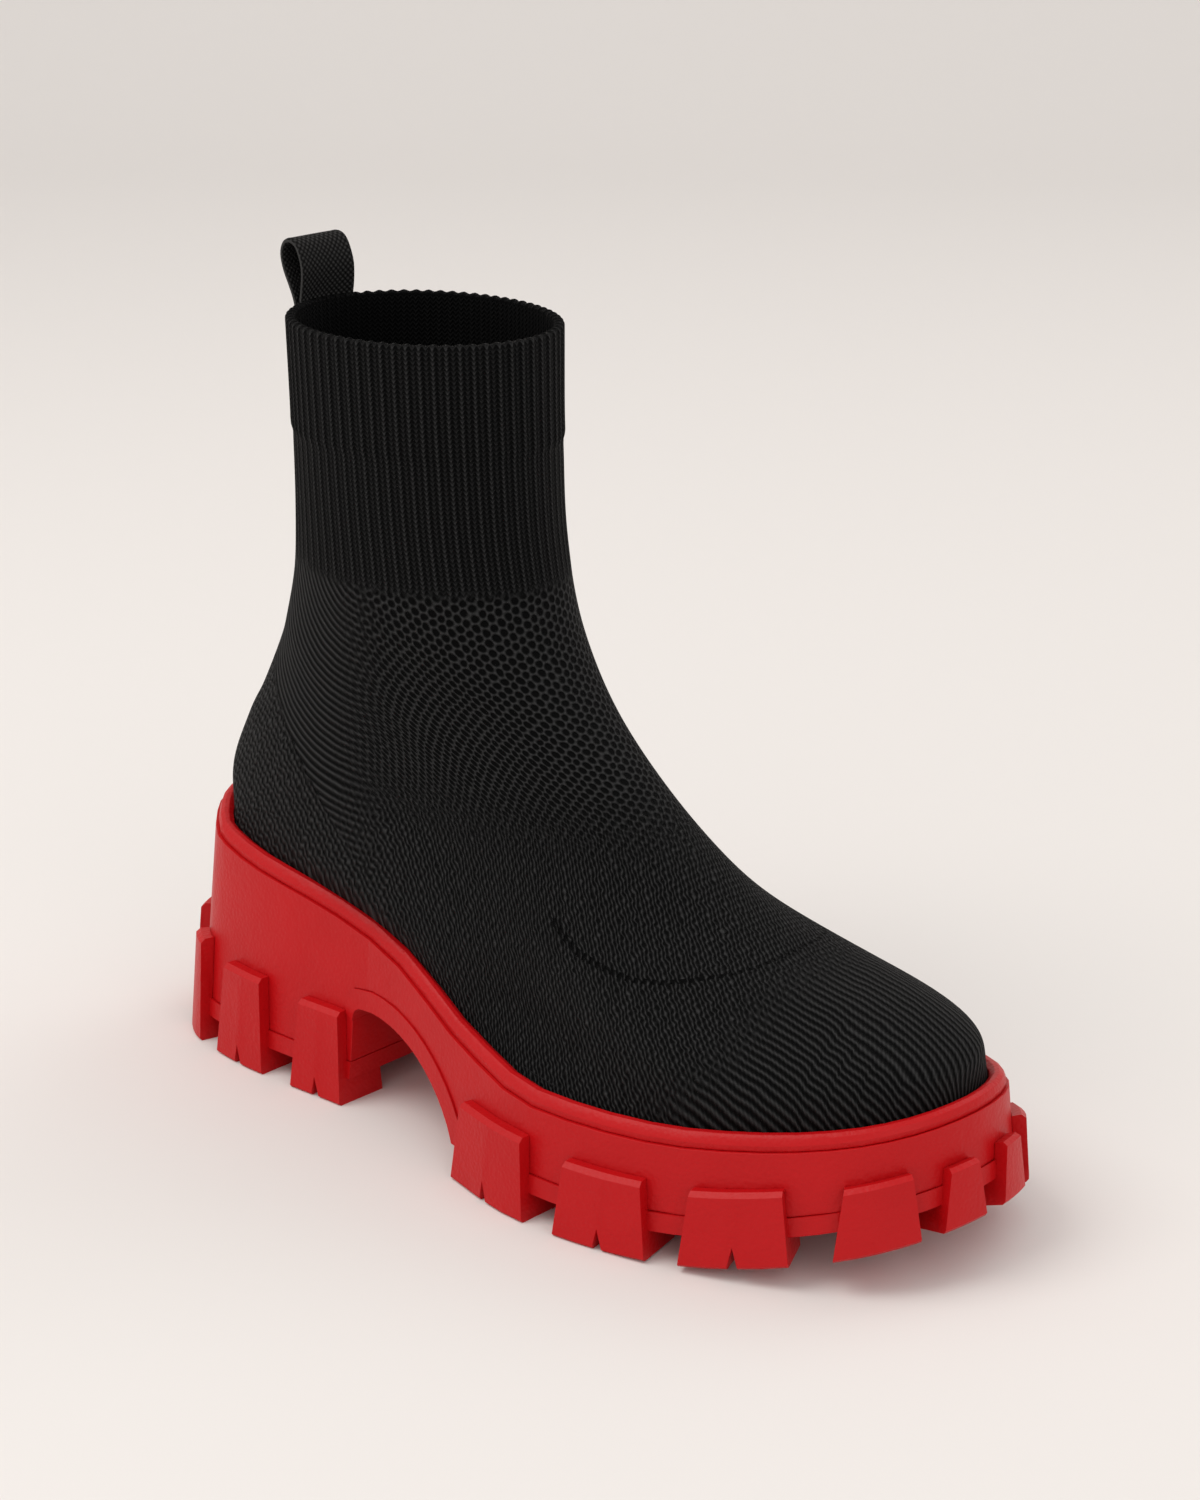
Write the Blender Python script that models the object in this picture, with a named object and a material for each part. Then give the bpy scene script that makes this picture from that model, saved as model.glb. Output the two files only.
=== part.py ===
# Sock boot for the right foot: a knitted sock upper with a ribbed cuff and a webbing pull loop,
# on a red platform sole with a block heel, an arch and a lugged tread.
# Metres, +Z up, +X to the toe, +Y to the wearer's left, which is the inner side of this foot.

import math
from collections import namedtuple

import bmesh
import bpy
import numpy as np

# Driving sizes of the sole, over its lugs
SOLE_LENGTH = 0.285
BALL_WIDTH = 0.1165
HEEL_WIDTH = 0.080
TOE_SHIFT = 0.0102
TOE_SPRING = 0.0165

# Heights over the floor of the platform's top edge
HEEL_HEIGHT = 0.072
FOREFOOT_HEIGHT = 0.0305

# Side wall of the platform and the rolled strip on its top edge
LUG_DEPTH = 0.0035
WALL_LEAN = 0.095
STRIP_SETBACK = 0.0010
STRIP_WIDTH = 0.0042
STRIP_HEIGHT = 0.0044

# Tread
TREAD_LINE = 0.0125
TREAD_PROUD = 0.0006
GAP_HEIGHT = 0.0075
FOREFOOT_LUG_REACH = 0.1416 * BALL_WIDTH
HEEL_LUG_REACH = 0.2063 * HEEL_WIDTH
LUG_LEAN = 0.080
LUG_TAPER = 0.0024
LUG_BEVEL = 0.0012
NOTCH_HEIGHT = 0.0056
NOTCH_WIDTH = 0.0030
BAR_WIDTH = 0.0080

# Arch between heel and forefoot, and the tread band that lines it
BREAST_X = 0.3211 * SOLE_LENGTH
ARCH_FRONT_X = 0.5053 * SOLE_LENGTH
ARCH_HEIGHT = 0.0302
ARCH_CORNER = 0.0040
ARCH_CROWN = 0.16
BAND_THICKNESS = 0.0058
BAND_HOOK = 0.0028

# Upper
COLLAR_HEIGHT = 0.2205
COLLAR_LENGTH = 0.0820
COLLAR_WIDTH = 0.0690
COLLAR_SHIFT = 0.0083
SHAFT_X = 0.0830
UPPER_HEEL_WIDTH = 0.0710
UPPER_WAIST_WIDTH = 0.0680
UPPER_BALL_WIDTH = 0.1040
KNIT_WALL = 0.0020
CUFF_WALL = 0.0028
CUFF_DEPTH = 0.0400
CUFF_STEP = 0.0005
BASE_RISE = 0.0055

# Insole, pull loop and the clearance between pieces
INSOLE_THICKNESS = 0.0040
LOOP_WIDTH = 0.0192
LOOP_SHIFT = 0.0097
LOOP_THICKNESS = 0.0015
LOOP_HEIGHT = 0.0160
LOOP_TAIL = 0.0130
LOOP_BULGE = 0.0067
CLEARANCE = 0.0003

# How finely the pieces are divided
SOLE_STATIONS = 34
RING_STEPS = 17
ARCH_STEPS = 14
LOOP_STATIONS = 7

OUTER, INNER = -1, 1

# Tread outline. Widths are from the centre line, in shares of the local width.
Outline = namedtuple("Outline", "along outer inner")
OUTLINE = (
    Outline(0.00, 0.000, 0.000),
    Outline(0.03, 0.277, 0.272),
    Outline(0.10, 0.457, 0.460),
    Outline(0.20, 0.500, 0.500),
    Outline(0.33, 0.486, 0.455),
    Outline(0.50, 0.478, 0.410),
    Outline(0.65, 0.504, 0.492),
    Outline(0.76, 0.477, 0.486),
    Outline(0.86, 0.408, 0.420),
    Outline(0.94, 0.306, 0.310),
    Outline(0.98, 0.196, 0.198),
    Outline(1.00, 0.000, 0.000),
)
WIDENS_FROM, WIDENS_OVER = 0.30, 0.32
SHIFT_FROM, SHIFT_POWER = 0.25, 1.5
SPRING_FROM = 0.70

# Top edge of the platform, in shares of the drop from heel to forefoot
Ledge = namedtuple("Ledge", "along drop")
LEDGE = (
    Ledge(0.00, 1.000),
    Ledge(0.06, 0.850),
    Ledge(0.13, 0.730),
    Ledge(0.25, 0.610),
    Ledge(0.38, 0.405),
    Ledge(0.50, 0.125),
    Ledge(0.62, 0.005),
    Ledge(0.78, 0.005),
    Ledge(1.00, -0.060),
)

# Lugs of the forefoot. Starts and ends run round the outline from the toe's tip, in shares of
# the sole's length, and tops are in shares of the forefoot's height.
Lug = namedtuple("Lug", "side start end top notched")
FOREFOOT_LUGS = (
    Lug(OUTER, 0.012, 0.061, 0.56, False),
    Lug(OUTER, 0.085, 0.165, 0.63, False),
    Lug(OUTER, 0.205, 0.309, 0.68, True),
    Lug(OUTER, 0.343, 0.443, 0.70, True),
    Lug(OUTER, 0.481, 0.596, 0.76, True),
    Lug(INNER, 0.016, 0.063, 0.56, False),
    Lug(INNER, 0.083, 0.152, 0.63, False),
    Lug(INNER, 0.184, 0.277, 0.68, True),
    Lug(INNER, 0.309, 0.398, 0.70, True),
    Lug(INNER, 0.432, 0.517, 0.76, True),
    Lug(INNER, 0.549, 0.608, 0.47, True),
)

# Lugs of the heel. Starts and ends run round the outline from the heel's back.
HEEL_LUGS = (
    Lug(OUTER, 0.017, 0.080, 1.10, False),
    Lug(OUTER, 0.117, 0.169, 1.03, False),
    Lug(OUTER, 0.204, 0.280, 0.94, True),
    Lug(OUTER, 0.323, 0.393, 0.90, True),
    Lug(INNER, 0.017, 0.080, 1.10, False),
    Lug(INNER, 0.117, 0.169, 1.03, False),
    Lug(INNER, 0.204, 0.280, 0.94, True),
    Lug(INNER, 0.323, 0.393, 0.90, True),
)

# Bars across the middle of the tread: place along the sole, and half length in shares of BALL_WIDTH
Bar = namedtuple("Bar", "along half")
FOREFOOT_BARS = (
    Bar(0.60, 0.19),
    Bar(0.67, 0.22),
    Bar(0.74, 0.22),
    Bar(0.81, 0.19),
    Bar(0.88, 0.12),
)
HEEL_BARS = (
    Bar(0.13, 0.09),
    Bar(0.20, 0.10),
)

# Rings of the foot. Places along are in shares of SOLE_LENGTH. Rises are in shares of the height
# from the platform to the collar. Follow is how far a ring keeps to the platform's top edge.
# Heel, waist and ball are in shares of the upper's widths, and square is the ring's exponent.
FootRing = namedtuple(
    "FootRing", "back back_rise front front_rise follow heel waist ball square"
)
FOOT_RINGS = (
    FootRing(0.0490, 0.0500, 0.9460, 0.0200, 1.00, 0.985, 1.000, 0.947, 2.33),
    FootRing(0.0700, 0.1640, 0.9330, 0.0680, 0.90, 1.006, 0.990, 0.940, 2.27),
    FootRing(0.0815, 0.2030, 0.8720, 0.1180, 0.70, 1.009, 0.928, 0.630, 2.38),
    FootRing(0.1000, 0.2450, 0.7660, 0.1560, 0.50, 0.994, 0.871, 0.577, 2.25),
    FootRing(0.1265, 0.3500, 0.6660, 0.2390, 0.30, 0.959, 0.850, 0.495, 2.18),
    FootRing(0.1418, 0.4180, 0.5530, 0.3830, 0.10, 0.936, 0.885, 0.490, 2.16),
)
HEEL_AT, WAIST_AT, BALL_AT = 0.15, 0.50, 0.82

# Rings of the shaft, in shares of the same rises and of half the collar's length and width
ShaftRing = namedtuple("ShaftRing", "back back_rise front front_rise width")
SHAFT_RINGS = (
    ShaftRing(0.978, 0.5185, 1.346, 0.508, 0.922),
    ShaftRing(0.939, 0.6465, 1.134, 0.656, 0.938),
    ShaftRing(0.950, 0.7950, 1.051, 0.815, 0.968),
    ShaftRing(1.000, 1.0000, 1.000, 1.000, 1.000),
)

# Share of the collar's curve that the pull loop has lost at its top
LOOP_FLATTENS = 0.85

# Middle line of the pull loop's strap above the collar. Rises are in shares of its height, and
# back is how far it stands behind its front leg in shares of its bulge.
LoopPoint = namedtuple("LoopPoint", "rise back")
LOOP_LINE = (
    LoopPoint(0.00, 0.00),
    LoopPoint(0.26, -0.13),
    LoopPoint(0.52, -0.22),
    LoopPoint(0.74, -0.14),
    LoopPoint(0.91, 0.04),
    LoopPoint(0.985, 0.28),
    LoopPoint(1.00, 0.56),
    LoopPoint(0.95, 0.80),
    LoopPoint(0.83, 0.96),
    LoopPoint(0.68, 1.00),
    LoopPoint(0.46, 0.89),
    LoopPoint(0.22, 0.64),
    LoopPoint(0.00, 0.42),
)


def clamp(value, low=0.0, high=1.0):
    return min(max(value, low), high)


def smooth_step(value):
    value = clamp(value)
    return value * value * (3 - 2 * value)


def bounded_slopes(knots, values):
    """Slopes that keep a curve through the values from overshooting them."""
    steps = np.diff(knots)
    rates = np.diff(values) / steps
    slopes = np.empty(len(values))
    slopes[0], slopes[-1] = rates[0], rates[-1]
    for i in range(1, len(rates)):
        before, after = rates[i - 1], rates[i]
        slopes[i] = 0.0 if before * after <= 0 else 2 * before * after / (before + after)
    return slopes


def hermite(knots, values, slopes, at):
    """Value at one place of the cubic curve through the values with the given slopes."""
    i = int(clamp(np.searchsorted(knots, at) - 1, 0, len(knots) - 2))
    step = knots[i + 1] - knots[i]
    s = (at - knots[i]) / step
    near = (1 + 2 * s) * (1 - s) ** 2 * values[i] + s * (1 - s) ** 2 * step * slopes[i]
    far = s * s * (3 - 2 * s) * values[i + 1] + s * s * (s - 1) * step * slopes[i + 1]
    return near + far


def table_curve(knots, values):
    """Function through a table's values, with no overshoot."""
    knots, values = np.array(knots, float), np.array(values, float)
    slopes = bounded_slopes(knots, values)
    return lambda at: hermite(knots, values, slopes, at)


def local_width(along):
    blend = smooth_step((along - WIDENS_FROM) / WIDENS_OVER)
    return HEEL_WIDTH + (BALL_WIDTH - HEEL_WIDTH) * blend


def centre_line(along):
    return TOE_SHIFT * clamp((along - SHIFT_FROM) / (1 - SHIFT_FROM)) ** SHIFT_POWER


def spring(along):
    return TOE_SPRING * clamp((along - SPRING_FROM) / (1 - SPRING_FROM)) ** 2


SQUARED_WIDTH = {
    side: table_curve(
        [row.along for row in OUTLINE],
        [(row.outer if side == OUTER else row.inner) ** 2 for row in OUTLINE],
    )
    for side in (OUTER, INNER)
}
DROP = table_curve([row.along for row in LEDGE], [row.drop for row in LEDGE])


def ledge(x):
    """Height of the platform's top edge over the floor at a distance from the heel's back."""
    along = clamp(x / SOLE_LENGTH)
    drop = (HEEL_HEIGHT - FOREFOOT_HEIGHT) * DROP(along)
    return FOREFOOT_HEIGHT + drop + spring(along)


def wall_inset(height):
    return LUG_DEPTH + WALL_LEAN * height


def edge_inset(x):
    """Inset of the platform's top edge from the tread outline."""
    return wall_inset(ledge(x) - spring(clamp(x / SOLE_LENGTH)))


def upper_inset(x):
    """Inset of the upper's base from the tread outline."""
    return edge_inset(x) + STRIP_SETBACK + STRIP_WIDTH + CLEARANCE


def outline_point(turn, side):
    """Point of the tread outline. Turn runs from 0 at the heel's back to 1 at the toe's tip."""
    if turn < 0:
        turn, side = -turn, -side
    if turn > 1:
        turn, side = 2 - turn, -side
    along = (1 - math.cos(math.pi * turn)) / 2
    half = math.sqrt(max(SQUARED_WIDTH[side](along), 0)) * local_width(along)
    return np.array([along * SOLE_LENGTH, centre_line(along) + side * half])


def rim_point(turn, side, inset):
    """Point of the outline moved inwards by the inset."""
    reach = 0.01
    forward = outline_point(turn + reach, side) - outline_point(turn - reach, side)
    forward /= np.linalg.norm(forward)
    inward = np.array([-forward[1], forward[0]]) * -side
    return outline_point(turn, side) + inward * inset


def rim_height_point(turn, side, inset_at, height_at):
    """Point whose inset and height are both functions of the distance from the heel's back."""
    x = rim_point(turn, side, inset_at(outline_point(turn, side)[0]))[0]
    place = rim_point(turn, side, inset_at(x))
    return np.array([place[0], place[1], height_at(place[0])])


def turns(start_x=0.0, end_x=SOLE_LENGTH, count=SOLE_STATIONS):
    """Turns of evenly spaced stations between two distances from the heel's back."""
    first = math.acos(1 - 2 * start_x / SOLE_LENGTH) / math.pi
    last = math.acos(1 - 2 * end_x / SOLE_LENGTH) / math.pi
    return [first + (last - first) * i / (count - 1) for i in range(count)]


def length_table(side, from_toe):
    """Turns and the distances run round the outline to them, from the toe or from the heel."""
    samples = np.linspace(0, 1, 401)
    if from_toe:
        samples = samples[::-1]
    points = np.array([outline_point(turn, side) for turn in samples])
    steps = np.linalg.norm(np.diff(points, axis=0), axis=1)
    return samples, np.concatenate([[0], np.cumsum(steps)])


def finish_mesh(name, mesh_data, material):
    bmesh.ops.recalc_face_normals(mesh_data, faces=mesh_data.faces)
    mesh = bpy.data.meshes.new(name)
    mesh_data.to_mesh(mesh)
    mesh_data.free()
    mesh.shade_smooth()
    mesh.set_sharp_from_angle(angle=math.radians(35))
    body = bpy.data.objects.new(name, mesh)
    bpy.context.scene.collection.objects.link(body)
    if material:
        mesh.materials.append(material)
    return body


def ladder_solid(name, stations, levels, material=None):
    """Closed solid between two rims that share stations: side walls, and caps of rungs."""
    build = bmesh.new()
    starts_at_tip = stations[0] < 1e-9
    ends_at_tip = stations[-1] > 1 - 1e-9
    inner_stations = stations[::-1]
    if ends_at_tip:
        inner_stations = inner_stations[1:]
    if starts_at_tip:
        inner_stations = inner_stations[:-1]
    places = [(turn, OUTER) for turn in stations] + [(turn, INNER) for turn in inner_stations]
    loops = [[build.verts.new(shifted(level(*place))) for place in places] for level in levels]
    count = len(places)
    for low, high in zip(loops, loops[1:]):
        for i in range(count):
            j = (i + 1) % count
            build.faces.new((low[i], low[j], high[j], high[i]))
    for loop in (loops[0], loops[-1]):
        add_rungs(build, loop, starts_at_tip)
    return finish_mesh(name, build, material)


def add_rungs(build, loop, starts_at_tip):
    """Closes a rim with strips across it."""
    count = len(loop)
    left, right = (0, count - 1)
    if starts_at_tip:
        build.faces.new((loop[0], loop[1], loop[count - 1]))
        left = 1
    while right - left > 2:
        build.faces.new((loop[left], loop[left + 1], loop[right - 1], loop[right]))
        left, right = left + 1, right - 1
    if right - left == 2:
        build.faces.new((loop[left], loop[left + 1], loop[right]))


def shifted(point):
    """Moves a point from the heel's back to the frame's origin, under the middle of the boot."""
    return (point[0] - MIDDLE[0], point[1] - MIDDLE[1], point[2])


def middle_of_outline():
    stations = turns(count=201)
    points = np.array([outline_point(turn, side) for turn in stations for side in (OUTER, INNER)])
    return (points.min(axis=0) + points.max(axis=0)) / 2


def prism(name, outline, half_width):
    """Solid with the given outline in X and Z, run across the boot."""
    build = bmesh.new()
    loops = [
        [build.verts.new(shifted((x, MIDDLE[1] + y, z))) for x, z in outline]
        for y in (-half_width, half_width)
    ]
    count = len(outline)
    for i in range(count):
        j = (i + 1) % count
        build.faces.new((loops[0][i], loops[0][j], loops[1][j], loops[1][i]))
    build.faces.new(loops[0])
    build.faces.new(loops[1])
    return finish_mesh(name, build, None)


def combine(body, other, operation):
    """Applies a Boolean and removes the other solid."""
    modifier = body.modifiers.new(operation.title(), "BOOLEAN")
    modifier.operation = operation
    modifier.solver = "EXACT"
    modifier.object = other
    graph = bpy.context.evaluated_depsgraph_get()
    mesh = bpy.data.meshes.new_from_object(body.evaluated_get(graph))
    body.modifiers.clear()
    old = body.data
    body.data = mesh
    bpy.data.meshes.remove(old)
    bpy.data.objects.remove(other)


def arch_curve(offset):
    """Roof of the arch from the breast's foot to the forefoot, moved outwards by the offset."""
    crown_x = BREAST_X + ARCH_CROWN * (ARCH_FRONT_X - BREAST_X)
    points = []
    for i in range(5):
        angle = math.pi / 2 * i / 4
        points.append((
            BREAST_X + ARCH_CORNER * (1 - math.cos(angle)),
            ARCH_HEIGHT - ARCH_CORNER * (1.2 - math.sin(angle)) * (1 - 0.5 * i / 4),
        ))
    span = ARCH_FRONT_X - crown_x
    for i in range(ARCH_STEPS + 1):
        angle = math.pi / 2 * i / ARCH_STEPS
        points.append((crown_x + span * math.sin(angle) ** 1.05, ARCH_HEIGHT * math.cos(angle) ** 1.12))
    return moved_out(points, offset)


def moved_out(points, offset):
    """Moves each point of a curve along its normal, to the left of the way it runs."""
    if not offset:
        return points
    path = np.array(points)
    ahead = np.vstack([path[1:], path[-1:]]) - np.vstack([path[:1], path[:-1]])
    ahead /= np.linalg.norm(ahead, axis=1)[:, None]
    normals = np.stack([-ahead[:, 1], ahead[:, 0]], axis=1)
    return [tuple(point) for point in path + normals * offset]


def above(points, height):
    """The start of a falling curve, down to where it crosses the height."""
    kept = []
    for here, following in zip(points, points[1:]):
        kept.append(here)
        if here[1] > height >= following[1] and here[0] > BREAST_X + ARCH_CORNER:
            share = (here[1] - height) / (here[1] - following[1])
            kept.append((here[0] + share * (following[0] - here[0]), height))
            break
    return kept


def band_curve(offset):
    """Outside of the tread band: a round hook behind the breast, then along the arch's roof."""
    roof = [point for point in arch_curve(BAND_THICKNESS) if point[0] > BREAST_X + ARCH_CORNER]
    foot = arch_curve(0)[0]
    hook = [
        foot,
        (BREAST_X - 0.85 * BAND_HOOK, foot[1] + 0.25 * BAND_THICKNESS),
        (BREAST_X - BAND_HOOK, foot[1] + 0.70 * BAND_THICKNESS),
        (BREAST_X - 0.70 * BAND_HOOK, foot[1] + 1.15 * BAND_THICKNESS),
        (BREAST_X + 0.10 * BAND_HOOK, ARCH_HEIGHT + 0.80 * BAND_THICKNESS),
    ]
    return moved_out(hook + roof, offset)


def level_run(height, start_x, end_x, count=SOLE_STATIONS):
    """Line at one height over the tread, which rises with the toe spring."""
    xs = np.linspace(start_x, end_x, count)
    return [(x, height + spring(clamp(x / SOLE_LENGTH))) for x in xs]


def wall_level(height, proud=0.0):
    """Rim at one height over the tread on the platform's wall, moved outwards by proud."""
    inset = wall_inset(height) - proud

    def place(turn, side):
        x, y = rim_point(turn, side, inset)
        return np.array([x, y, height + spring(clamp(x / SOLE_LENGTH))])

    return place


def ledge_level(rise=0.0, proud=0.0):
    """Rim of the platform's top edge."""
    return lambda turn, side: rim_height_point(
        turn, side, lambda x: edge_inset(x) - proud, lambda x: ledge(x) + rise
    )


def arch_room():
    """Solid of the arch's opening and of the band that lines it."""
    roof = above(band_curve(CLEARANCE), TREAD_LINE + CLEARANCE / 2)
    under = [(roof[-1][0], 0.0), (BREAST_X, 0.0)]
    return prism("arch_room", roof + under, BALL_WIDTH)


def make_platform(material):
    """Platform and heel block in one piece, with the arch cut through under the waist."""
    levels = [wall_level(TREAD_LINE + CLEARANCE), ledge_level()]
    platform = ladder_solid("platform", turns(), levels, material)
    combine(platform, arch_room(), "DIFFERENCE")
    return platform


def lug_profile(top, low, reach):
    """Section through a lug as insets from the tread outline and heights over the tread."""
    overlap = 0.0022
    join = GAP_HEIGHT + 0.0020
    foot_bevel = 0.6 * LUG_BEVEL
    lean = LUG_LEAN * top
    return [
        (reach, low),
        (foot_bevel, low),
        (0.0, low + foot_bevel),
        (lean - LUG_LEAN * LUG_BEVEL, top - LUG_BEVEL),
        (lean + LUG_BEVEL, top),
        (wall_inset(top) + overlap, top),
        (wall_inset(join) + overlap, join),
        (reach, join),
    ]


def add_lug(build, lug, lengths, reach):
    """Lug as a row of sections round the outline, with a notch up the middle of its foot."""
    samples, distances = lengths
    start, end = lug.start * SOLE_LENGTH, lug.end * SOLE_LENGTH
    top = lug.top * FOREFOOT_HEIGHT
    notch = NOTCH_WIDTH / 2 / (end - start)
    shares = [0, 0.25, 0.5, 0.75, 1]
    if lug.notched:
        shares[2:3] = [0.5 - notch, 0.5, 0.5 + notch]
    sections = []
    for share in shares:
        low = NOTCH_HEIGHT if lug.notched and share == 0.5 else 0.0
        section = []
        for inset, height in lug_profile(top, low, reach):
            taper = LUG_TAPER * height / top
            place = start + taper + share * (end - start - 2 * taper)
            x, y = rim_point(float(np.interp(place, distances, samples)), lug.side, inset)
            z = height + spring(clamp(x / SOLE_LENGTH))
            section.append(build.verts.new(shifted((x, y, z))))
        sections.append(section)
    count = len(sections[0])
    for near, far in zip(sections, sections[1:]):
        for i in range(count):
            j = (i + 1) % count
            build.faces.new((near[i], near[j], far[j], far[i]))
    build.faces.new(sections[0])
    build.faces.new(sections[-1])


def make_lugs(name, lugs, from_toe, reach):
    """All lugs of one tread, trimmed clear of the platform's wall."""
    build = bmesh.new()
    for lug in lugs:
        add_lug(build, lug, length_table(lug.side, from_toe), reach)
    # The sides are slightly warped, so they are cut into triangles before the Booleans
    bmesh.ops.recalc_face_normals(build, faces=build.faces)
    bmesh.ops.triangulate(build, faces=build.faces)
    body = finish_mesh(name, build, None)
    depth_in_tread = 0.0015
    levels = [wall_level(TREAD_LINE - depth_in_tread, CLEARANCE), ledge_level(CLEARANCE, CLEARANCE)]
    combine(body, ladder_solid("platform_room", turns(), levels), "DIFFERENCE")
    return body


def add_bars(body, bars):
    """Bars across the middle of the tread, from inside the tread down to the floor."""
    for bar in bars:
        x, y = bar.along * SOLE_LENGTH, centre_line(bar.along)
        low = spring(bar.along)
        high = low + (GAP_HEIGHT + TREAD_LINE) / 2
        half = bar.half * BALL_WIDTH
        box = bmesh.new()
        made = bmesh.ops.create_cube(box, size=1.0)
        for vert in made["verts"]:
            height = low + (vert.co.z + 0.5) * (high - low)
            vert.co = shifted((x + vert.co.x * BAR_WIDTH, y + vert.co.y * 2 * half, height))
        combine(body, finish_mesh("bar", box, None), "UNION")


def make_forefoot_tread(material):
    """Tread of the forefoot, with the band that runs back along the arch to the heel's breast."""
    low = above(arch_curve(0), GAP_HEIGHT)
    high = above(band_curve(0), TREAD_LINE)
    beyond = SOLE_LENGTH + 0.005
    outline = low + level_run(GAP_HEIGHT, low[-1][0], beyond)[1:]
    outline += level_run(TREAD_LINE, high[-1][0], beyond)[:0:-1] + high[:0:-1]
    stations = turns(start_x=BREAST_X - 2 * BAND_HOOK)
    tallest = ARCH_HEIGHT + 2 * BAND_THICKNESS
    walls = [wall_level(GAP_HEIGHT - 0.002, TREAD_PROUD), wall_level(tallest, TREAD_PROUD)]
    tread = ladder_solid("tread_forefoot", stations, walls, material)
    combine(tread, prism("tread_profile", outline, BALL_WIDTH), "INTERSECT")
    lugs = make_lugs("forefoot_lugs", FOREFOOT_LUGS, True, FOREFOOT_LUG_REACH)
    combine(tread, lugs, "UNION")
    add_bars(tread, FOREFOOT_BARS)
    return tread


def make_heel_tread(material):
    """Tread of the heel, flush with the heel's breast."""
    levels = [wall_level(GAP_HEIGHT, TREAD_PROUD), wall_level(TREAD_LINE, TREAD_PROUD)]
    tread = ladder_solid("tread_heel", turns(end_x=BREAST_X), levels, material)
    lugs = make_lugs("heel_lugs", HEEL_LUGS, False, HEEL_LUG_REACH)
    combine(lugs, arch_room(), "DIFFERENCE")
    combine(tread, lugs, "UNION")
    add_bars(tread, HEEL_BARS)
    return tread


def loop_places():
    """Turns and sides of the stations in order round the boot, from the heel's back."""
    stations = turns()
    return [(turn, OUTER) for turn in stations] + [(turn, INNER) for turn in stations[-2:0:-1]]


def tube_mesh(name, rings, material):
    """Closed solid from a list of rings, with the last ring joined to the first."""
    build = bmesh.new()
    loops = [[build.verts.new(shifted(point)) for point in ring] for ring in rings]
    count = len(rings[0])
    for near, far in zip(loops, loops[1:] + loops[:1]):
        for i in range(count):
            j = (i + 1) % count
            build.faces.new((near[i], near[j], far[j], far[i]))
    return finish_mesh(name, build, material)


def make_edge_strip(material):
    """Rolled strip that stands on the platform's top edge, round the upper."""
    near, far = STRIP_SETBACK, STRIP_SETBACK + STRIP_WIDTH
    section = [
        (near, CLEARANCE),
        (near, 0.40 * STRIP_HEIGHT),
        (near + 0.14 * STRIP_WIDTH, 0.75 * STRIP_HEIGHT),
        (near + 0.40 * STRIP_WIDTH, 0.96 * STRIP_HEIGHT),
        (near + 0.68 * STRIP_WIDTH, STRIP_HEIGHT),
        (far, 0.82 * STRIP_HEIGHT),
        (far, CLEARANCE),
    ]
    rings = [
        [
            rim_height_point(turn, side, lambda x: edge_inset(x) + inset, lambda x: ledge(x) + rise)
            for turn, side in loop_places()
        ]
        for inset, rise in section
    ]
    return tube_mesh("edge_strip", rings, material)


def make_insole(material):
    """Insole that lies on the platform inside the upper's open base."""
    margin = KNIT_WALL + CLEARANCE
    levels = [
        lambda turn, side, rise=rise: rim_height_point(
            turn, side, lambda x: upper_inset(x) + margin, lambda x: ledge(x) + rise
        )
        for rise in (CLEARANCE, CLEARANCE + INSOLE_THICKNESS)
    ]
    return ladder_solid("insole", turns(), levels, material)


def mix(start, end, share):
    return start + (end - start) * share


def ring_height(back_rise, front_rise):
    """Heights of a ring's back and front."""
    toe = ledge(SOLE_LENGTH)
    return (
        HEEL_HEIGHT + back_rise * (COLLAR_HEIGHT - HEEL_HEIGHT),
        toe + front_rise * (COLLAR_HEIGHT - toe),
    )


def ring_centre(ring, x):
    lift = (ring.back_rise + ring.front_rise) / 2
    return mix(centre_line(clamp(x / SOLE_LENGTH)), COLLAR_SHIFT, lift)


def roundness(share, square):
    return max(1 - abs(2 * share - 1) ** square, 0) ** (1 / square)


def foot_ring_point(ring, turn, side):
    """Point of one ring of the foot, which partly follows the platform's top edge."""
    share = (1 - math.cos(math.pi * turn)) / 2
    back_x, front_x = ring.back * SOLE_LENGTH, ring.front * SOLE_LENGTH
    x = mix(back_x, front_x, share)
    heel = ring.heel * UPPER_HEEL_WIDTH / 2
    waist = ring.waist * UPPER_WAIST_WIDTH / 2
    ball = ring.ball * UPPER_BALL_WIDTH / 2
    knots, widths = (0, HEEL_AT, WAIST_AT, BALL_AT, 1), (heel, heel, waist, ball, ball)
    half = table_curve(knots, widths)(share) * roundness(share, ring.square)
    back_z, front_z = ring_height(ring.back_rise, ring.front_rise)
    followed = ledge(x) + mix(back_z - ledge(back_x), front_z - ledge(front_x), share)
    z = mix(mix(back_z, front_z, share), followed, ring.follow)
    return np.array([x, ring_centre(ring, x) + side * half, z])


def shaft_ring_point(ring, turn, side):
    """Point of one ring of the shaft, an ellipse."""
    share = (1 - math.cos(math.pi * turn)) / 2
    x = SHAFT_X + mix(-ring.back, ring.front, share) * COLLAR_LENGTH / 2
    half = ring.width * COLLAR_WIDTH / 2 * roundness(share, 2)
    back_z, front_z = ring_height(ring.back_rise, ring.front_rise)
    return np.array([x, ring_centre(ring, x) + side * half, mix(back_z, front_z, share)])


def column_points(turn, side):
    """Points of all rings of the upper at one place round it, from its base to its collar."""
    base = [
        rim_height_point(turn, side, upper_inset, lambda x: ledge(x) + rise)
        for rise in (CLEARANCE, BASE_RISE)
    ]
    foot = [foot_ring_point(ring, turn, side) for ring in FOOT_RINGS]
    shaft = [shaft_ring_point(ring, turn, side) for ring in SHAFT_RINGS]
    return np.array(base + foot + shaft)


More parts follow.
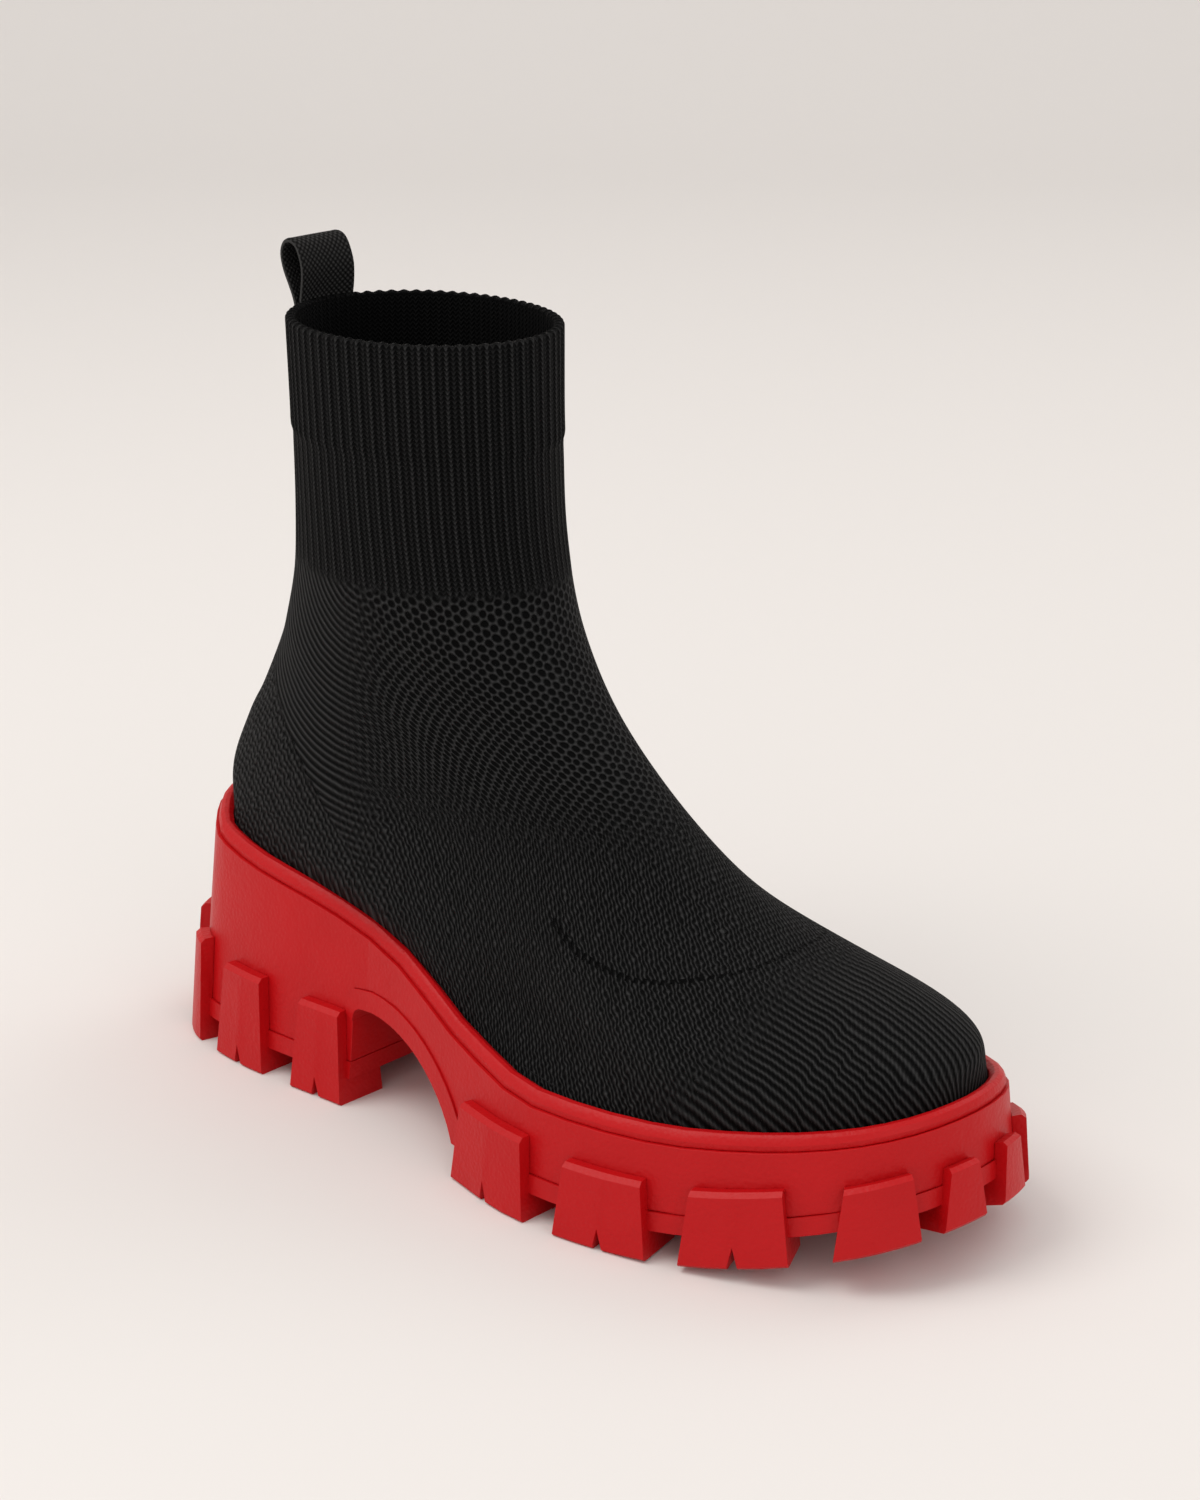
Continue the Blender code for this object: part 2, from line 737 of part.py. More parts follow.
def climb_knots(places):
    """Mean distance climbed from the upper's base to each ring, as shares of the whole."""
    columns = [column_points(turn, side) for turn, side in places]
    steps = np.mean([np.linalg.norm(np.diff(column, axis=0), axis=1) for column in columns], axis=0)
    total = np.concatenate([[0], np.cumsum(steps)])
    return total / total[-1], total[-1]


def column_curve(knots, turn, side):
    """Function of the share climbed that gives the point of the upper's outer face."""
    points = column_points(turn, side)
    steps = np.diff(knots)[:, None]
    rates = np.diff(points, axis=0) / steps
    inner = (rates[:-1] * steps[1:] + rates[1:] * steps[:-1]) / (steps[:-1] + steps[1:])
    slopes = np.vstack([rates[:1], inner, rates[-1:]])
    return lambda climb: hermite(knots, points, slopes, climb)


def grid_normals(grid):
    """Outward normals of a grid of rings, level at the base and at the collar."""
    around = np.roll(grid, -1, axis=1) - np.roll(grid, 1, axis=1)
    up = np.gradient(grid, axis=0)
    normals = np.cross(around, up)
    normals[[0, 1, -1], :, 2] = 0
    return normals / np.linalg.norm(normals, axis=2)[:, :, None]


def climb_rows(knots, length):
    """Shares climbed of the mesh's rows, with a close pair at the cuff's lower edge."""
    cuff = 1 - CUFF_DEPTH / length
    step = 0.004
    rows = list(np.linspace(knots[1], cuff - step, RING_STEPS - 4))
    return [0.0] + rows + list(np.linspace(cuff + step, 1, 4)), cuff


def make_upper(material):
    """Knitted upper: one hollow wall, open at its collar and at its base."""
    places = loop_places()
    knots, length = climb_knots(places)
    climbs, cuff = climb_rows(knots, length)
    curves = [column_curve(knots, turn, side) for turn, side in places]
    grid = np.array([[curve(climb) for curve in curves] for climb in climbs])
    normals = grid_normals(grid)
    in_cuff = (np.array(climbs) > cuff)[:, None, None]
    outer = grid + normals * CUFF_STEP * in_cuff
    inner = outer - normals * np.where(in_cuff, CUFF_WALL, KNIT_WALL)
    for row, rise in ((0, CLEARANCE), (1, BASE_RISE)):
        for point in inner[row]:
            point[2] = ledge(point[0]) + rise
    return tube_mesh("upper", list(outer) + list(inner[::-1]), material)


def strap_line():
    """Middle line of the strap in distances behind the collar and heights over it."""
    apart = (LOOP_THICKNESS + CLEARANCE) / LOOP_BULGE
    join, end = -0.25, -LOOP_TAIL / LOOP_HEIGHT
    rows = [LoopPoint(end, 0.0)] + list(LOOP_LINE)
    rows += [LoopPoint(join, apart), LoopPoint(end, apart)]
    line = np.array([(-row.back * LOOP_BULGE, row.rise * LOOP_HEIGHT) for row in rows])
    rounded = [line[0], line[1]]
    for i in range(1, len(line) - 2):
        near, far = (line[i + 1] - line[i - 1]) / 2, (line[i + 2] - line[i]) / 2
        if i in (1, len(line) - 3):
            near, far = (line[i + 1] - line[i]), (line[i + 1] - line[i])
        rounded.append(hermite(np.array([0.0, 1.0]), line[[i, i + 1]], np.array([near, far]), 0.5))
        rounded.append(line[i + 1])
    rounded.append(line[-1])
    return np.array(rounded)


def strap_section():
    """Outline of the strap: its middle line thickened to both sides."""
    line = strap_line()
    front = moved_out([tuple(point) for point in line], LOOP_THICKNESS / 2)
    back = moved_out([tuple(point) for point in line], -LOOP_THICKNESS / 2)
    return front + back[::-1]


def collar_back_x(y, z):
    """Where the cuff's outer face is at a place on the collar's back."""
    lower, ring = SHAFT_RINGS[-2:]
    low_z, _ = ring_height(lower.back_rise, lower.front_rise)
    fall = clamp((COLLAR_HEIGHT - z) / (COLLAR_HEIGHT - low_z))
    back = mix(ring.back, lower.back, fall) * COLLAR_LENGTH / 2 + CUFF_STEP
    width = mix(ring.width, lower.width, fall) * COLLAR_WIDTH / 2 + CUFF_STEP
    centre = mix(ring_centre(ring, 0), ring_centre(lower, 0), fall)
    return SHAFT_X - back * math.sqrt(1 - ((y - centre) / width) ** 2)


def make_pull_loop(material):
    """Webbing strap doubled into a loop, its two ends sewn to the back of the cuff."""
    build = bmesh.new()
    seat = CLEARANCE + LOOP_THICKNESS / 2
    sections = []
    for i in range(LOOP_STATIONS):
        y = LOOP_SHIFT + LOOP_WIDTH * (i / (LOOP_STATIONS - 1) - 0.5)
        section = []
        for back, rise in strap_section():
            z = COLLAR_HEIGHT + rise
            middle, here = (collar_back_x(place, min(z, COLLAR_HEIGHT)) for place in (LOOP_SHIFT, y))
            curl = 1 - LOOP_FLATTENS * smooth_step(rise / LOOP_HEIGHT)
            x = middle + (here - middle) * curl + back - seat
            section.append(build.verts.new(shifted((x, y, z))))
        sections.append(section)
    count = len(sections[0])
    for near, far in zip(sections, sections[1:]):
        for i in range(count):
            j = (i + 1) % count
            build.faces.new((near[i], near[j], far[j], far[i]))
    build.faces.new(sections[0])
    build.faces.new(sections[-1])
    return finish_mesh("pull_loop", build, material)


def plain_material(name, colour, roughness):
    material = bpy.data.materials.new(name)
    material.use_nodes = True
    shader = material.node_tree.nodes["Principled BSDF"]
    shader.inputs["Base Color"].default_value = (*colour, 1.0)
    shader.inputs["Roughness"].default_value = roughness
    shader.inputs["Metallic"].default_value = 0.0
    material.diffuse_color = (*colour, 1.0)
    return material


def clear_scene():
    for body in list(bpy.data.objects):
        bpy.data.objects.remove(body)


MIDDLE = middle_of_outline()

clear_scene()
make_platform(plain_material("platform_rubber", (0.57, 0.018, 0.026), 0.45))
make_forefoot_tread(plain_material("tread_rubber", (0.55, 0.017, 0.024), 0.50))
make_heel_tread(plain_material("heel_tread_rubber", (0.55, 0.017, 0.024), 0.50))
make_edge_strip(plain_material("strip_rubber", (0.60, 0.020, 0.028), 0.40))
make_insole(plain_material("insole_foam", (0.012, 0.012, 0.013), 0.90))
make_upper(plain_material("knit", (0.008, 0.008, 0.009), 0.85))
make_pull_loop(plain_material("webbing", (0.010, 0.010, 0.011), 0.80))
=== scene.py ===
# Looks of the sock boot: the knitted upper, its pull loop, the red rubber sole and the insole,
# with the photo's camera and a soft studio. Metres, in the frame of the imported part.

import math
from collections import namedtuple

import bmesh
import bpy
import numpy as np
from bpy.props import FloatProperty, FloatVectorProperty, IntProperty, PointerProperty
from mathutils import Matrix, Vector


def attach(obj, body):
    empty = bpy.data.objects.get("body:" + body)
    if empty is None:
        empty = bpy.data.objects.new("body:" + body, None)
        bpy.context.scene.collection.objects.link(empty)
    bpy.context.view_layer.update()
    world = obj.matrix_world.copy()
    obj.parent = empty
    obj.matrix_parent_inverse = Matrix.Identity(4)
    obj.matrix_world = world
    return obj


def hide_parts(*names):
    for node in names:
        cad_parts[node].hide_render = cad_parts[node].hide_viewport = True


bl_info = {
    "name": "Sock boot",
    "version": (1, 0, 0),
    "blender": (4, 5, 0),
    "location": "View3D > Sidebar > Sock boot",
    "description": "Builds the looks of a knitted sock boot on a red platform sole",
    "category": "Object",
}

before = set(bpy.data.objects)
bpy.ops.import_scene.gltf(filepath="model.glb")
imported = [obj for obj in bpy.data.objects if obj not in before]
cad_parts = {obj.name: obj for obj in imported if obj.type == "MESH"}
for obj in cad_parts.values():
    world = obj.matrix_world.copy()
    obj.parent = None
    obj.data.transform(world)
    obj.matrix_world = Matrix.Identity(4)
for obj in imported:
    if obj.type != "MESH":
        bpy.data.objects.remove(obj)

OUTER, INNER = -1, 1

# Sizes of the sole and of the upper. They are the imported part's, but for the cuff's depth and
# step and the rise of the upper's base, which follow the photo more closely.
SOLE_LENGTH = 0.285
BALL_WIDTH = 0.1165
HEEL_WIDTH = 0.080
TOE_SHIFT = 0.0102
TOE_SPRING = 0.0165
HEEL_HEIGHT = 0.072
FOREFOOT_HEIGHT = 0.0305
LUG_DEPTH = 0.0035
WALL_LEAN = 0.095
STRIP_SETBACK = 0.0010
STRIP_WIDTH = 0.0042
COLLAR_HEIGHT = 0.2205
COLLAR_LENGTH = 0.0820
COLLAR_WIDTH = 0.0690
COLLAR_SHIFT = 0.0083
SHAFT_X = 0.0830
UPPER_HEEL_WIDTH = 0.0710
UPPER_WAIST_WIDTH = 0.0680
UPPER_BALL_WIDTH = 0.1040
KNIT_WALL = 0.0020
CUFF_WALL = 0.0028
CUFF_DEPTH = 0.0310
CUFF_STEP = 0.0004
BASE_RISE = 0.0020
LOOP_WIDTH = 0.0192
LOOP_SHIFT = 0.0097
LOOP_THICKNESS = 0.0015
LOOP_HEIGHT = 0.0160
LOOP_TAIL = 0.0130
LOOP_BULGE = 0.0067
LOOP_FLATTENS = 0.85
LOOP_JOIN = -0.25
CLEARANCE = 0.0003

# Tread outline, in shares of the sole's length and of the local width
Outline = namedtuple("Outline", "along outer inner")
OUTLINE = [Outline(*row) for row in (
    (0.00, 0.000, 0.000), (0.03, 0.277, 0.272), (0.10, 0.457, 0.460), (0.20, 0.500, 0.500),
    (0.33, 0.486, 0.455), (0.50, 0.478, 0.410), (0.65, 0.504, 0.492), (0.76, 0.477, 0.486),
    (0.86, 0.408, 0.420), (0.94, 0.306, 0.310), (0.98, 0.196, 0.198), (1.00, 0.000, 0.000),
)]
WIDENS_FROM, WIDENS_OVER = 0.30, 0.32
SHIFT_FROM, SHIFT_POWER = 0.25, 1.5
SPRING_FROM = 0.70
OUTLINE_STEPS = 200

# Top edge of the platform, in shares of the drop from heel to forefoot
Ledge = namedtuple("Ledge", "along drop")
LEDGE = [Ledge(*row) for row in (
    (0.00, 1.000), (0.06, 0.850), (0.13, 0.730), (0.25, 0.610), (0.38, 0.405),
    (0.50, 0.125), (0.62, 0.005), (0.78, 0.005), (1.00, -0.060),
)]

# Rings of the foot and of the shaft. The first four foot rings are a little fuller at the toe
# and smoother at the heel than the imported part's.
FootRing = namedtuple(
    "FootRing", "back back_rise front front_rise follow heel waist ball square"
)
FOOT_RINGS = [FootRing(*row) for row in (
    (0.0492, 0.0500, 0.9570, 0.0200, 1.00, 0.985, 1.000, 0.952, 2.44),
    (0.0735, 0.1640, 0.9480, 0.0680, 0.90, 1.006, 0.990, 0.946, 2.36),
    (0.0860, 0.2030, 0.8850, 0.1180, 0.70, 0.998, 0.928, 0.650, 2.40),
    (0.0985, 0.2450, 0.7660, 0.1560, 0.50, 0.974, 0.871, 0.577, 2.25),
    (0.1265, 0.3500, 0.6660, 0.2390, 0.30, 0.959, 0.850, 0.495, 2.18),
    (0.1418, 0.4180, 0.5530, 0.3830, 0.10, 0.936, 0.885, 0.490, 2.16),
)]
HEEL_AT, WAIST_AT, BALL_AT = 0.15, 0.50, 0.82
ShaftRing = namedtuple("ShaftRing", "back back_rise front front_rise width")
SHAFT_RINGS = [ShaftRing(*row) for row in (
    (0.978, 0.5185, 1.346, 0.508, 0.922),
    (0.939, 0.6465, 1.134, 0.656, 0.938),
    (0.950, 0.7950, 1.051, 0.815, 0.968),
    (1.000, 1.0000, 1.000, 1.000, 1.000),
)]

# Middle line of the pull loop's strap above the collar, in shares of its height and bulge
LoopPoint = namedtuple("LoopPoint", "rise back")
LOOP_LINE = [LoopPoint(*row) for row in (
    (0.00, 0.00), (0.26, -0.13), (0.52, -0.22), (0.74, -0.14), (0.91, 0.04),
    (0.985, 0.28), (1.00, 0.56), (0.95, 0.80), (0.83, 0.96), (0.68, 1.00),
    (0.46, 0.89), (0.22, 0.64), (0.00, 0.42),
)]

# Mesh of the upper: its rows and columns, the rim's height, and the rounds of easing
PER_RIB = 6
OUTER_ROWS = 168
INNER_ROWS = 34
RIM_ROWS = 7
RIM_RISE = 0.0013
EASING = 20

# Ribs and rim: the points are exponents, the climb is in metres, the others are shares
RIB_POINT = 0.8
SHAFT_RIB = 0.55
INSIDE_RIB = 0.25
RIM_POINT = 0.8
RIM_CREST = 0.38
RIM_CLIMB = (0.0004, 0.0030)

# Zones of the knit: where each one starts, and the length over which it fades into the next
RIBS_LOW, RIBS_FADE = 0.153, 0.006
CUFF_FADE, SHAFT_FADE = 0.003, 0.012
MESH_LOW, MESH_LOW_FADE = 0.096, 0.026
MESH_BACK, MESH_BACK_FADE = 0.080, 0.030
ARC_FRONT, ARC_FADE = 0.092, 0.034
GORE_BACK, GORE_FRONT = (0.040, 0.120), (0.084, 0.082)
GORE_FADE, GORE_END_FADE = 0.002, 0.008
# Length of the toe's zone by the strip and higher up, and the rise over which it changes
TOE_LOW, TOE_HIGH, TOE_FADE = 0.070, 0.056, 0.026
TOE_RISE_FROM, TOE_RISE_OVER = 0.006, 0.020

# Middle of the heel's arcs, and the distance given to points far from a line
ARC_X, ARC_Z = 0.094, 0.162
FAR = 0.02

# Girth round the foot: the crest's height is averaged over the ease to each side, and the falls
# are the shares of a drop that count
CREST_EASE, CREST_SAMPLES = 0.024, 9
CREST_HALF = 0.006
CREST_FALL = 0.75
ALONG_FALL = 0.5

# Row of holes over the vamp: place from the heel's back, and across from the foot's middle line
Hole = namedtuple("Hole", "x across")
HOLES = [Hole(*row) for row in (
    (0.1640, -0.0290), (0.1745, -0.0311), (0.1840, -0.0316), (0.1925, -0.0314),
    (0.2005, -0.0292), (0.2080, -0.0254), (0.2152, -0.0198), (0.2195, -0.0116),
    (0.2208, -0.0020), (0.2200, 0.0080), (0.2165, 0.0180), (0.2080, 0.0262),
    (0.1960, 0.0310), (0.1840, 0.0330), (0.1700, 0.0330),
)]
# Part of the upper that is near enough to the holes
HOLES_X, HOLES_REACH, HOLES_LOW = 0.20, 0.06, 0.050
HOLE_STEPS = 160

# Soft troughs of the knit: place, reach and depth, in metres
Crease = namedtuple("Crease", "x z slope long wide depth")
CREASES = [Crease(*row) for row in (
    (0.122, 0.124, -0.55, 0.026, 0.0070, 0.00050),
    (0.136, 0.106, -0.50, 0.030, 0.0080, 0.00045),
    (0.172, 0.060, -0.35, 0.034, 0.0100, 0.00040),
)]
CREASE_RIDGE = 0.8

# Across the strap: place in shares of its width, and thickness in shares of its middle's
Selvedge = namedtuple("Selvedge", "across thick")
STRAP_ACROSS = [Selvedge(*row) for row in (
    (-0.500, 0.45), (-0.485, 0.85), (-0.450, 1.08), (-0.400, 1.00), (-0.250, 1.00),
    (0.000, 1.00), (0.250, 1.00), (0.400, 1.00), (0.450, 1.08), (0.485, 0.85),
    (0.500, 0.45),
)]

# Noises: scale for each metre, detail and, where it differs from a half, roughness
RUBBER_FINE = (1400.0, 3.0, 0.6)
RUBBER_BROAD = (55.0, 3.0, 0.55)
KNIT_FUZZ = (2600.0, 2.0, 0.7)
KNIT_DRIFT = (120.0, 1.0)
MESH_NOISE = (230.0, 1.0)
MAZE_NOISE = (330.0, 1.5)
INSOLE_NAP = (1500.0, 3.0, 0.7)

# Bumps: distance in metres, and strength
BROAD_BUMP = (0.0009, 0.6)
GRAIN_BUMP = (0.00020, 0.6)
KNIT_BUMP = (0.00085, 1.0)
FUZZ_BUMP = (0.00015, 0.5)
WEAVE_BUMP = (0.00042, 0.9)
WEAVE_FUZZ_BUMP = (0.00012, 0.5)
NAP_BUMP = (0.0002, 0.6)

# Rubber: share of the fine noise in the grain and in the roughness
FINE_GRAIN = 0.45
FINE_ROUGH, ROUGH_BASE = 0.14, -0.06

# Ribs: ribs to a wale, the stitches' lean and share, and the gain and base of the painted shade that
# darkens the stitches between the ribs' crests
WALE = 0.5
STITCH_LEAN = -3.2
STITCH_SHARE = 0.42
RIB_SHADE_GAIN, RIB_SHADE_BASE = 0.26, 0.66

# Open mesh: how far the noise moves its cells, and the height of its walls
MESH_AROUND, MESH_UP = 0.0016, -0.0012
MESH_GAIN, MESH_BASE, MESH_TOP = -0.40, 0.36, 0.92

# Maze of the vamp: ridge, break and slant, and how far the noise moves them
MAZE_RIDGE, MAZE_BREAK = 0.00165, 0.0023
MAZE_SLANT = 0.62
MAZE_AROUND, MAZE_ALONG = 0.0026, 0.0020
BREAK_SHARE = 0.30

# Toe and heel: how far the drift moves the ribs and arcs, the nicks, and the arcs' course
TOE_DRIFT, ARC_DRIFT = 0.0014, 0.0006
NICK, NICK_SLANT, NICK_SHARE = 0.0017, 1.1, 0.20
ARC_COURSE = 0.0021

# Holes over the vamp, and the heel's gore: pitch, half of the line's width, and strength
HOLE_PITCH, HOLE_HALF, HOLE_POINT = 0.0025, 0.00055, 1.6
GORE_PITCH, GORE_HALF, GORE_DEPTH = 0.0026, 0.0008, 0.7

# Tones: the painted highlight on the yarn's crests and the painted shade between them, from its height and
# fuzz; the painted shade of the inside; the webbing's painted highlight and shade; the insole
TONE_GAIN, TONE_BASE, TONE_FUZZ, TONE_POWER = 1.15, -0.28, 0.36, 1.9
INSIDE_SHADE = -0.92
WEAVE_POWER = 1.5
WEAVE_GAP_SHADE = (0.0012, 0.0012, 0.0012)
NAP_DARK, NAP_LIGHT = (0.006, 0.006, 0.0065), (0.020, 0.020, 0.021)

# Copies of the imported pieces: weld, angles, and the swell that closes the seams
WELD = 1e-6
FLAT_ANGLE, EDGE_ANGLE = math.radians(1.0), math.radians(32)
SWELL = 0.00014

# Studio: the world's light, the lamps, each aimed at a height over the floor, and the bend
WORLD_COLOUR, WORLD_STRENGTH = (1.0, 0.975, 0.95), 0.83
WARM, WHITE = (1.0, 0.965, 0.93), (1.0, 1.0, 1.0)
Lamp = namedtuple("Lamp", "name place aim_height size power colour")
LAMPS = (
    Lamp("key", (-0.55, -0.75, 1.55), 0.08, 1.1, "key", WARM),
    Lamp("fill", (1.5, -0.5, 0.9), 0.10, 1.3, "fill", WHITE),
    Lamp("rim", (0.2, 1.3, 1.3), 0.12, 1.0, "fill", WHITE),
)
BEND_STEPS = 16

# Camera: its place in metres, its rise in radians and the photo's focal length in pixels. The
# offset is the boot's middle in the photo, in pixels from the picture's middle, right and up.
CAMERA_PLACE = (0.57363, -0.61042, 0.40487)
CAMERA_RISE = 0.323179
PHOTO_FOCAL = 3245.0
PHOTO_OFFSET = (-134.0, -53.0)

# What all colour settings share
COLOUR = {"subtype": "COLOR", "size": 3, "min": 0.0, "max": 1.0}


class SoleProps(bpy.types.PropertyGroup):
    red: FloatVectorProperty(
        name="Red", description="Colour of the moulded rubber", default=(0.505, 0.0036, 0.0060),
        **COLOUR,
    )
    shade: FloatVectorProperty(
        name="Shade", description="Deeper red of the rubber's mottling", default=(0.440, 0.0024, 0.0044),
        **COLOUR,
    )
    gloss: FloatProperty(
        name="Roughness", description="Roughness of the satin surface", default=0.42, min=0.0, max=1.0,
    )
    edge: FloatProperty(
        name="Edge", description="Radius of the moulded edges", default=0.0006, unit="LENGTH",
    )
    grain: FloatProperty(
        name="Grain", description="Size of the leather-like grain", default=0.0011, unit="LENGTH",
    )


class UpperProps(bpy.types.PropertyGroup):
    # Colour of the raised yarn, lifted above the knit's black into a painted highlight
    yarn: FloatVectorProperty(
        name="Yarn", description="Colour of the knit's raised yarn", default=(0.0320, 0.0320, 0.0325),
        **COLOUR,
    )
    # Painted shade between the yarns
    gap: FloatVectorProperty(
        name="Gap", description="Colour between the yarns", default=(0.0006, 0.0006, 0.0007),
        **COLOUR,
    )
    ribs: IntProperty(name="Ribs", description="Ribs round the cuff", default=66, min=12, max=120)
    rib_depth: FloatProperty(
        name="Rib depth", description="Depth of the cuff's ribs", default=0.00050, unit="LENGTH",
    )
    course: FloatProperty(
        name="Course", description="Height of one course of stitches", default=0.0013, unit="LENGTH",
    )
    cell: FloatProperty(
        name="Cell", description="Width of one cell of the open mesh", default=0.0024, unit="LENGTH",
    )
    toe_rib: FloatProperty(
        name="Toe rib", description="Spacing of the bold ribs over the toe", default=0.0025, unit="LENGTH",
    )


class LoopProps(bpy.types.PropertyGroup):
    # Colour of the webbing's raised cells, lifted above its black into a painted highlight
    yarn: FloatVectorProperty(
        name="Yarn", description="Colour of the webbing", default=(0.0390, 0.0384, 0.0378),
        **COLOUR,
    )
    pick: FloatProperty(
        name="Pick", description="Size of one cell of the basket weave", default=0.00085, unit="LENGTH",
    )


class StageProps(bpy.types.PropertyGroup):
    floor: FloatVectorProperty(
        name="Floor", description="Colour of the floor and the backdrop", default=(0.785, 0.760, 0.742),
        **COLOUR,
    )
    focal: FloatProperty(name="Focal length", description="Camera's lens in millimetres", default=77.9)
    azimuth: FloatProperty(
        name="Azimuth", description="Camera's turn round the boot", default=0.701320, unit="ROTATION",
    )
    key: FloatProperty(name="Key light", description="Power of the large light", default=11.0)
    fill: FloatProperty(name="Fill light", description="Power of the fill light", default=3.0)


def smooth_step(value):
    value = np.clip(value, 0.0, 1.0)
    return value * value * (3 - 2 * value)


def mix(start, end, share):
    return start + (end - start) * share


def run_along(line):
    """Distance run along a line to each of its points."""
    return np.concatenate([[0], np.cumsum(np.linalg.norm(np.diff(line, axis=0), axis=1))])


def bounded_slopes(knots, values):
    """Slopes that keep a curve through the values from overshooting them."""
    steps = np.diff(knots)
    rates = np.diff(values) / steps
    slopes = np.empty(len(values))
    slopes[0], slopes[-1] = rates[0], rates[-1]
    for i in range(1, len(rates)):
        before, after = rates[i - 1], rates[i]
        slopes[i] = 0.0 if before * after <= 0 else 2 * before * after / (before + after)
    return slopes


def hermite(knots, values, slopes, at):
    """Values at the places of the cubic curve through the values with the given slopes."""
    at = np.asarray(at, float)
    i = np.clip(np.searchsorted(knots, at) - 1, 0, len(knots) - 2)
    step = knots[i + 1] - knots[i]
    s = (at - knots[i]) / step
    shape = s.shape + (1,) * (np.ndim(values) - 1)
    s, step = s.reshape(shape), np.reshape(step, shape)
    near = (1 + 2 * s) * (1 - s) ** 2 * values[i] + s * (1 - s) ** 2 * step * slopes[i]
    far = s * s * (3 - 2 * s) * values[i + 1] + s * s * (s - 1) * step * slopes[i + 1]
    return near + far


def table_curve(knots, values):
    """Function through a table's values, with no overshoot."""
    knots, values = np.array(knots, float), np.array(values, float)
    slopes = bounded_slopes(knots, values)
    return lambda at: hermite(knots, values, slopes, at)


SQUARED_WIDTH = {
    side: table_curve(
        [row.along for row in OUTLINE],
        [(row.outer if side == OUTER else row.inner) ** 2 for row in OUTLINE],
    )
    for side in (OUTER, INNER)
}
DROP = table_curve([row.along for row in LEDGE], [row.drop for row in LEDGE])


def along_sole(x):
    return np.clip(x / SOLE_LENGTH, 0, 1)


def local_width(along):
    blend = smooth_step((along - WIDENS_FROM) / WIDENS_OVER)
    return HEEL_WIDTH + (BALL_WIDTH - HEEL_WIDTH) * blend


def centre_line(along):
    return TOE_SHIFT * np.clip((along - SHIFT_FROM) / (1 - SHIFT_FROM), 0, 1) ** SHIFT_POWER


def spring(along):
    return TOE_SPRING * np.clip((along - SPRING_FROM) / (1 - SPRING_FROM), 0, 1) ** 2


def ledge(x):
    """Height of the platform's top edge over the floor at a distance from the heel's back."""
    along = along_sole(x)
    return FOREFOOT_HEIGHT + (HEEL_HEIGHT - FOREFOOT_HEIGHT) * DROP(along) + spring(along)


def upper_inset(x):
    """Inset of the upper's base from the tread outline."""
    along = along_sole(x)
    edge = LUG_DEPTH + WALL_LEAN * (ledge(x) - spring(along))
    return edge + STRIP_SETBACK + STRIP_WIDTH + CLEARANCE


def outline_point(turn, side):
    """Point of the tread outline. Turn runs from 0 at the heel's back to 1 at the toe's tip."""
    if turn < 0:
        turn, side = -turn, -side
    if turn > 1:
        turn, side = 2 - turn, -side
    along = (1 - math.cos(math.pi * turn)) / 2
    half = math.sqrt(max(float(SQUARED_WIDTH[side](along)), 0)) * local_width(along)
    return np.array([along * SOLE_LENGTH, float(centre_line(along) + side * half)])


def rim_point(turn, side, inset):
    """Point of the outline moved inwards by the inset."""
    reach = 0.01
    forward = outline_point(turn + reach, side) - outline_point(turn - reach, side)
    forward /= np.linalg.norm(forward)
    inward = np.array([-forward[1], forward[0]]) * -side
    return outline_point(turn, side) + inward * inset


def middle_of_outline():
    stations = [i / OUTLINE_STEPS for i in range(OUTLINE_STEPS + 1)]
    points = np.array([outline_point(turn, side) for turn in stations for side in (OUTER, INNER)])
    middle = (points.min(axis=0) + points.max(axis=0)) / 2
    return np.array([middle[0], middle[1], 0.0])


MIDDLE = middle_of_outline()


def ring_height(back_rise, front_rise):
    toe = float(ledge(SOLE_LENGTH))
    return (
        HEEL_HEIGHT + back_rise * (COLLAR_HEIGHT - HEEL_HEIGHT),
        toe + front_rise * (COLLAR_HEIGHT - toe),
    )


def ring_centre(ring, x):
    lift = (ring.back_rise + ring.front_rise) / 2
    return mix(centre_line(along_sole(x)), COLLAR_SHIFT, lift)


def roundness(share, square):
    return np.maximum(1 - np.abs(2 * share - 1) ** square, 0) ** (1 / square)


def base_ring(turns, sides, rise):
    """Ring of the upper's base, round the inside of the edge strip."""
    points = []
    for turn, side in zip(turns, sides):
        x = rim_point(turn, side, float(upper_inset(outline_point(turn, side)[0])))[0]
        x, y = rim_point(turn, side, float(upper_inset(x)))
        points.append((x, y, float(ledge(x)) + rise))
    return np.array(points)


def foot_ring(ring, turns, sides):
    """One ring of the foot, which partly follows the platform's top edge."""
    share = (1 - np.cos(np.pi * turns)) / 2
    back_x, front_x = ring.back * SOLE_LENGTH, ring.front * SOLE_LENGTH
    x = mix(back_x, front_x, share)
    heel = ring.heel * UPPER_HEEL_WIDTH / 2
    waist = ring.waist * UPPER_WAIST_WIDTH / 2
    ball = ring.ball * UPPER_BALL_WIDTH / 2
    widths = table_curve((0, HEEL_AT, WAIST_AT, BALL_AT, 1), (heel, heel, waist, ball, ball))
    half = widths(share) * roundness(share, ring.square)
    back_z, front_z = ring_height(ring.back_rise, ring.front_rise)
    followed = ledge(x) + mix(back_z - ledge(back_x), front_z - ledge(front_x), share)
    z = mix(mix(back_z, front_z, share), followed, ring.follow)
    return np.stack([x, ring_centre(ring, x) + sides * half, z], axis=1)


def shaft_ring(ring, turns, sides):
    """One ring of the shaft, an ellipse."""
    share = (1 - np.cos(np.pi * turns)) / 2
    x = SHAFT_X + mix(-ring.back, ring.front, share) * COLLAR_LENGTH / 2
    half = ring.width * COLLAR_WIDTH / 2 * roundness(share, 2)
    back_z, front_z = ring_height(ring.back_rise, ring.front_rise)
    return np.stack([x, ring_centre(ring, x) + sides * half, mix(back_z, front_z, share)], axis=1)


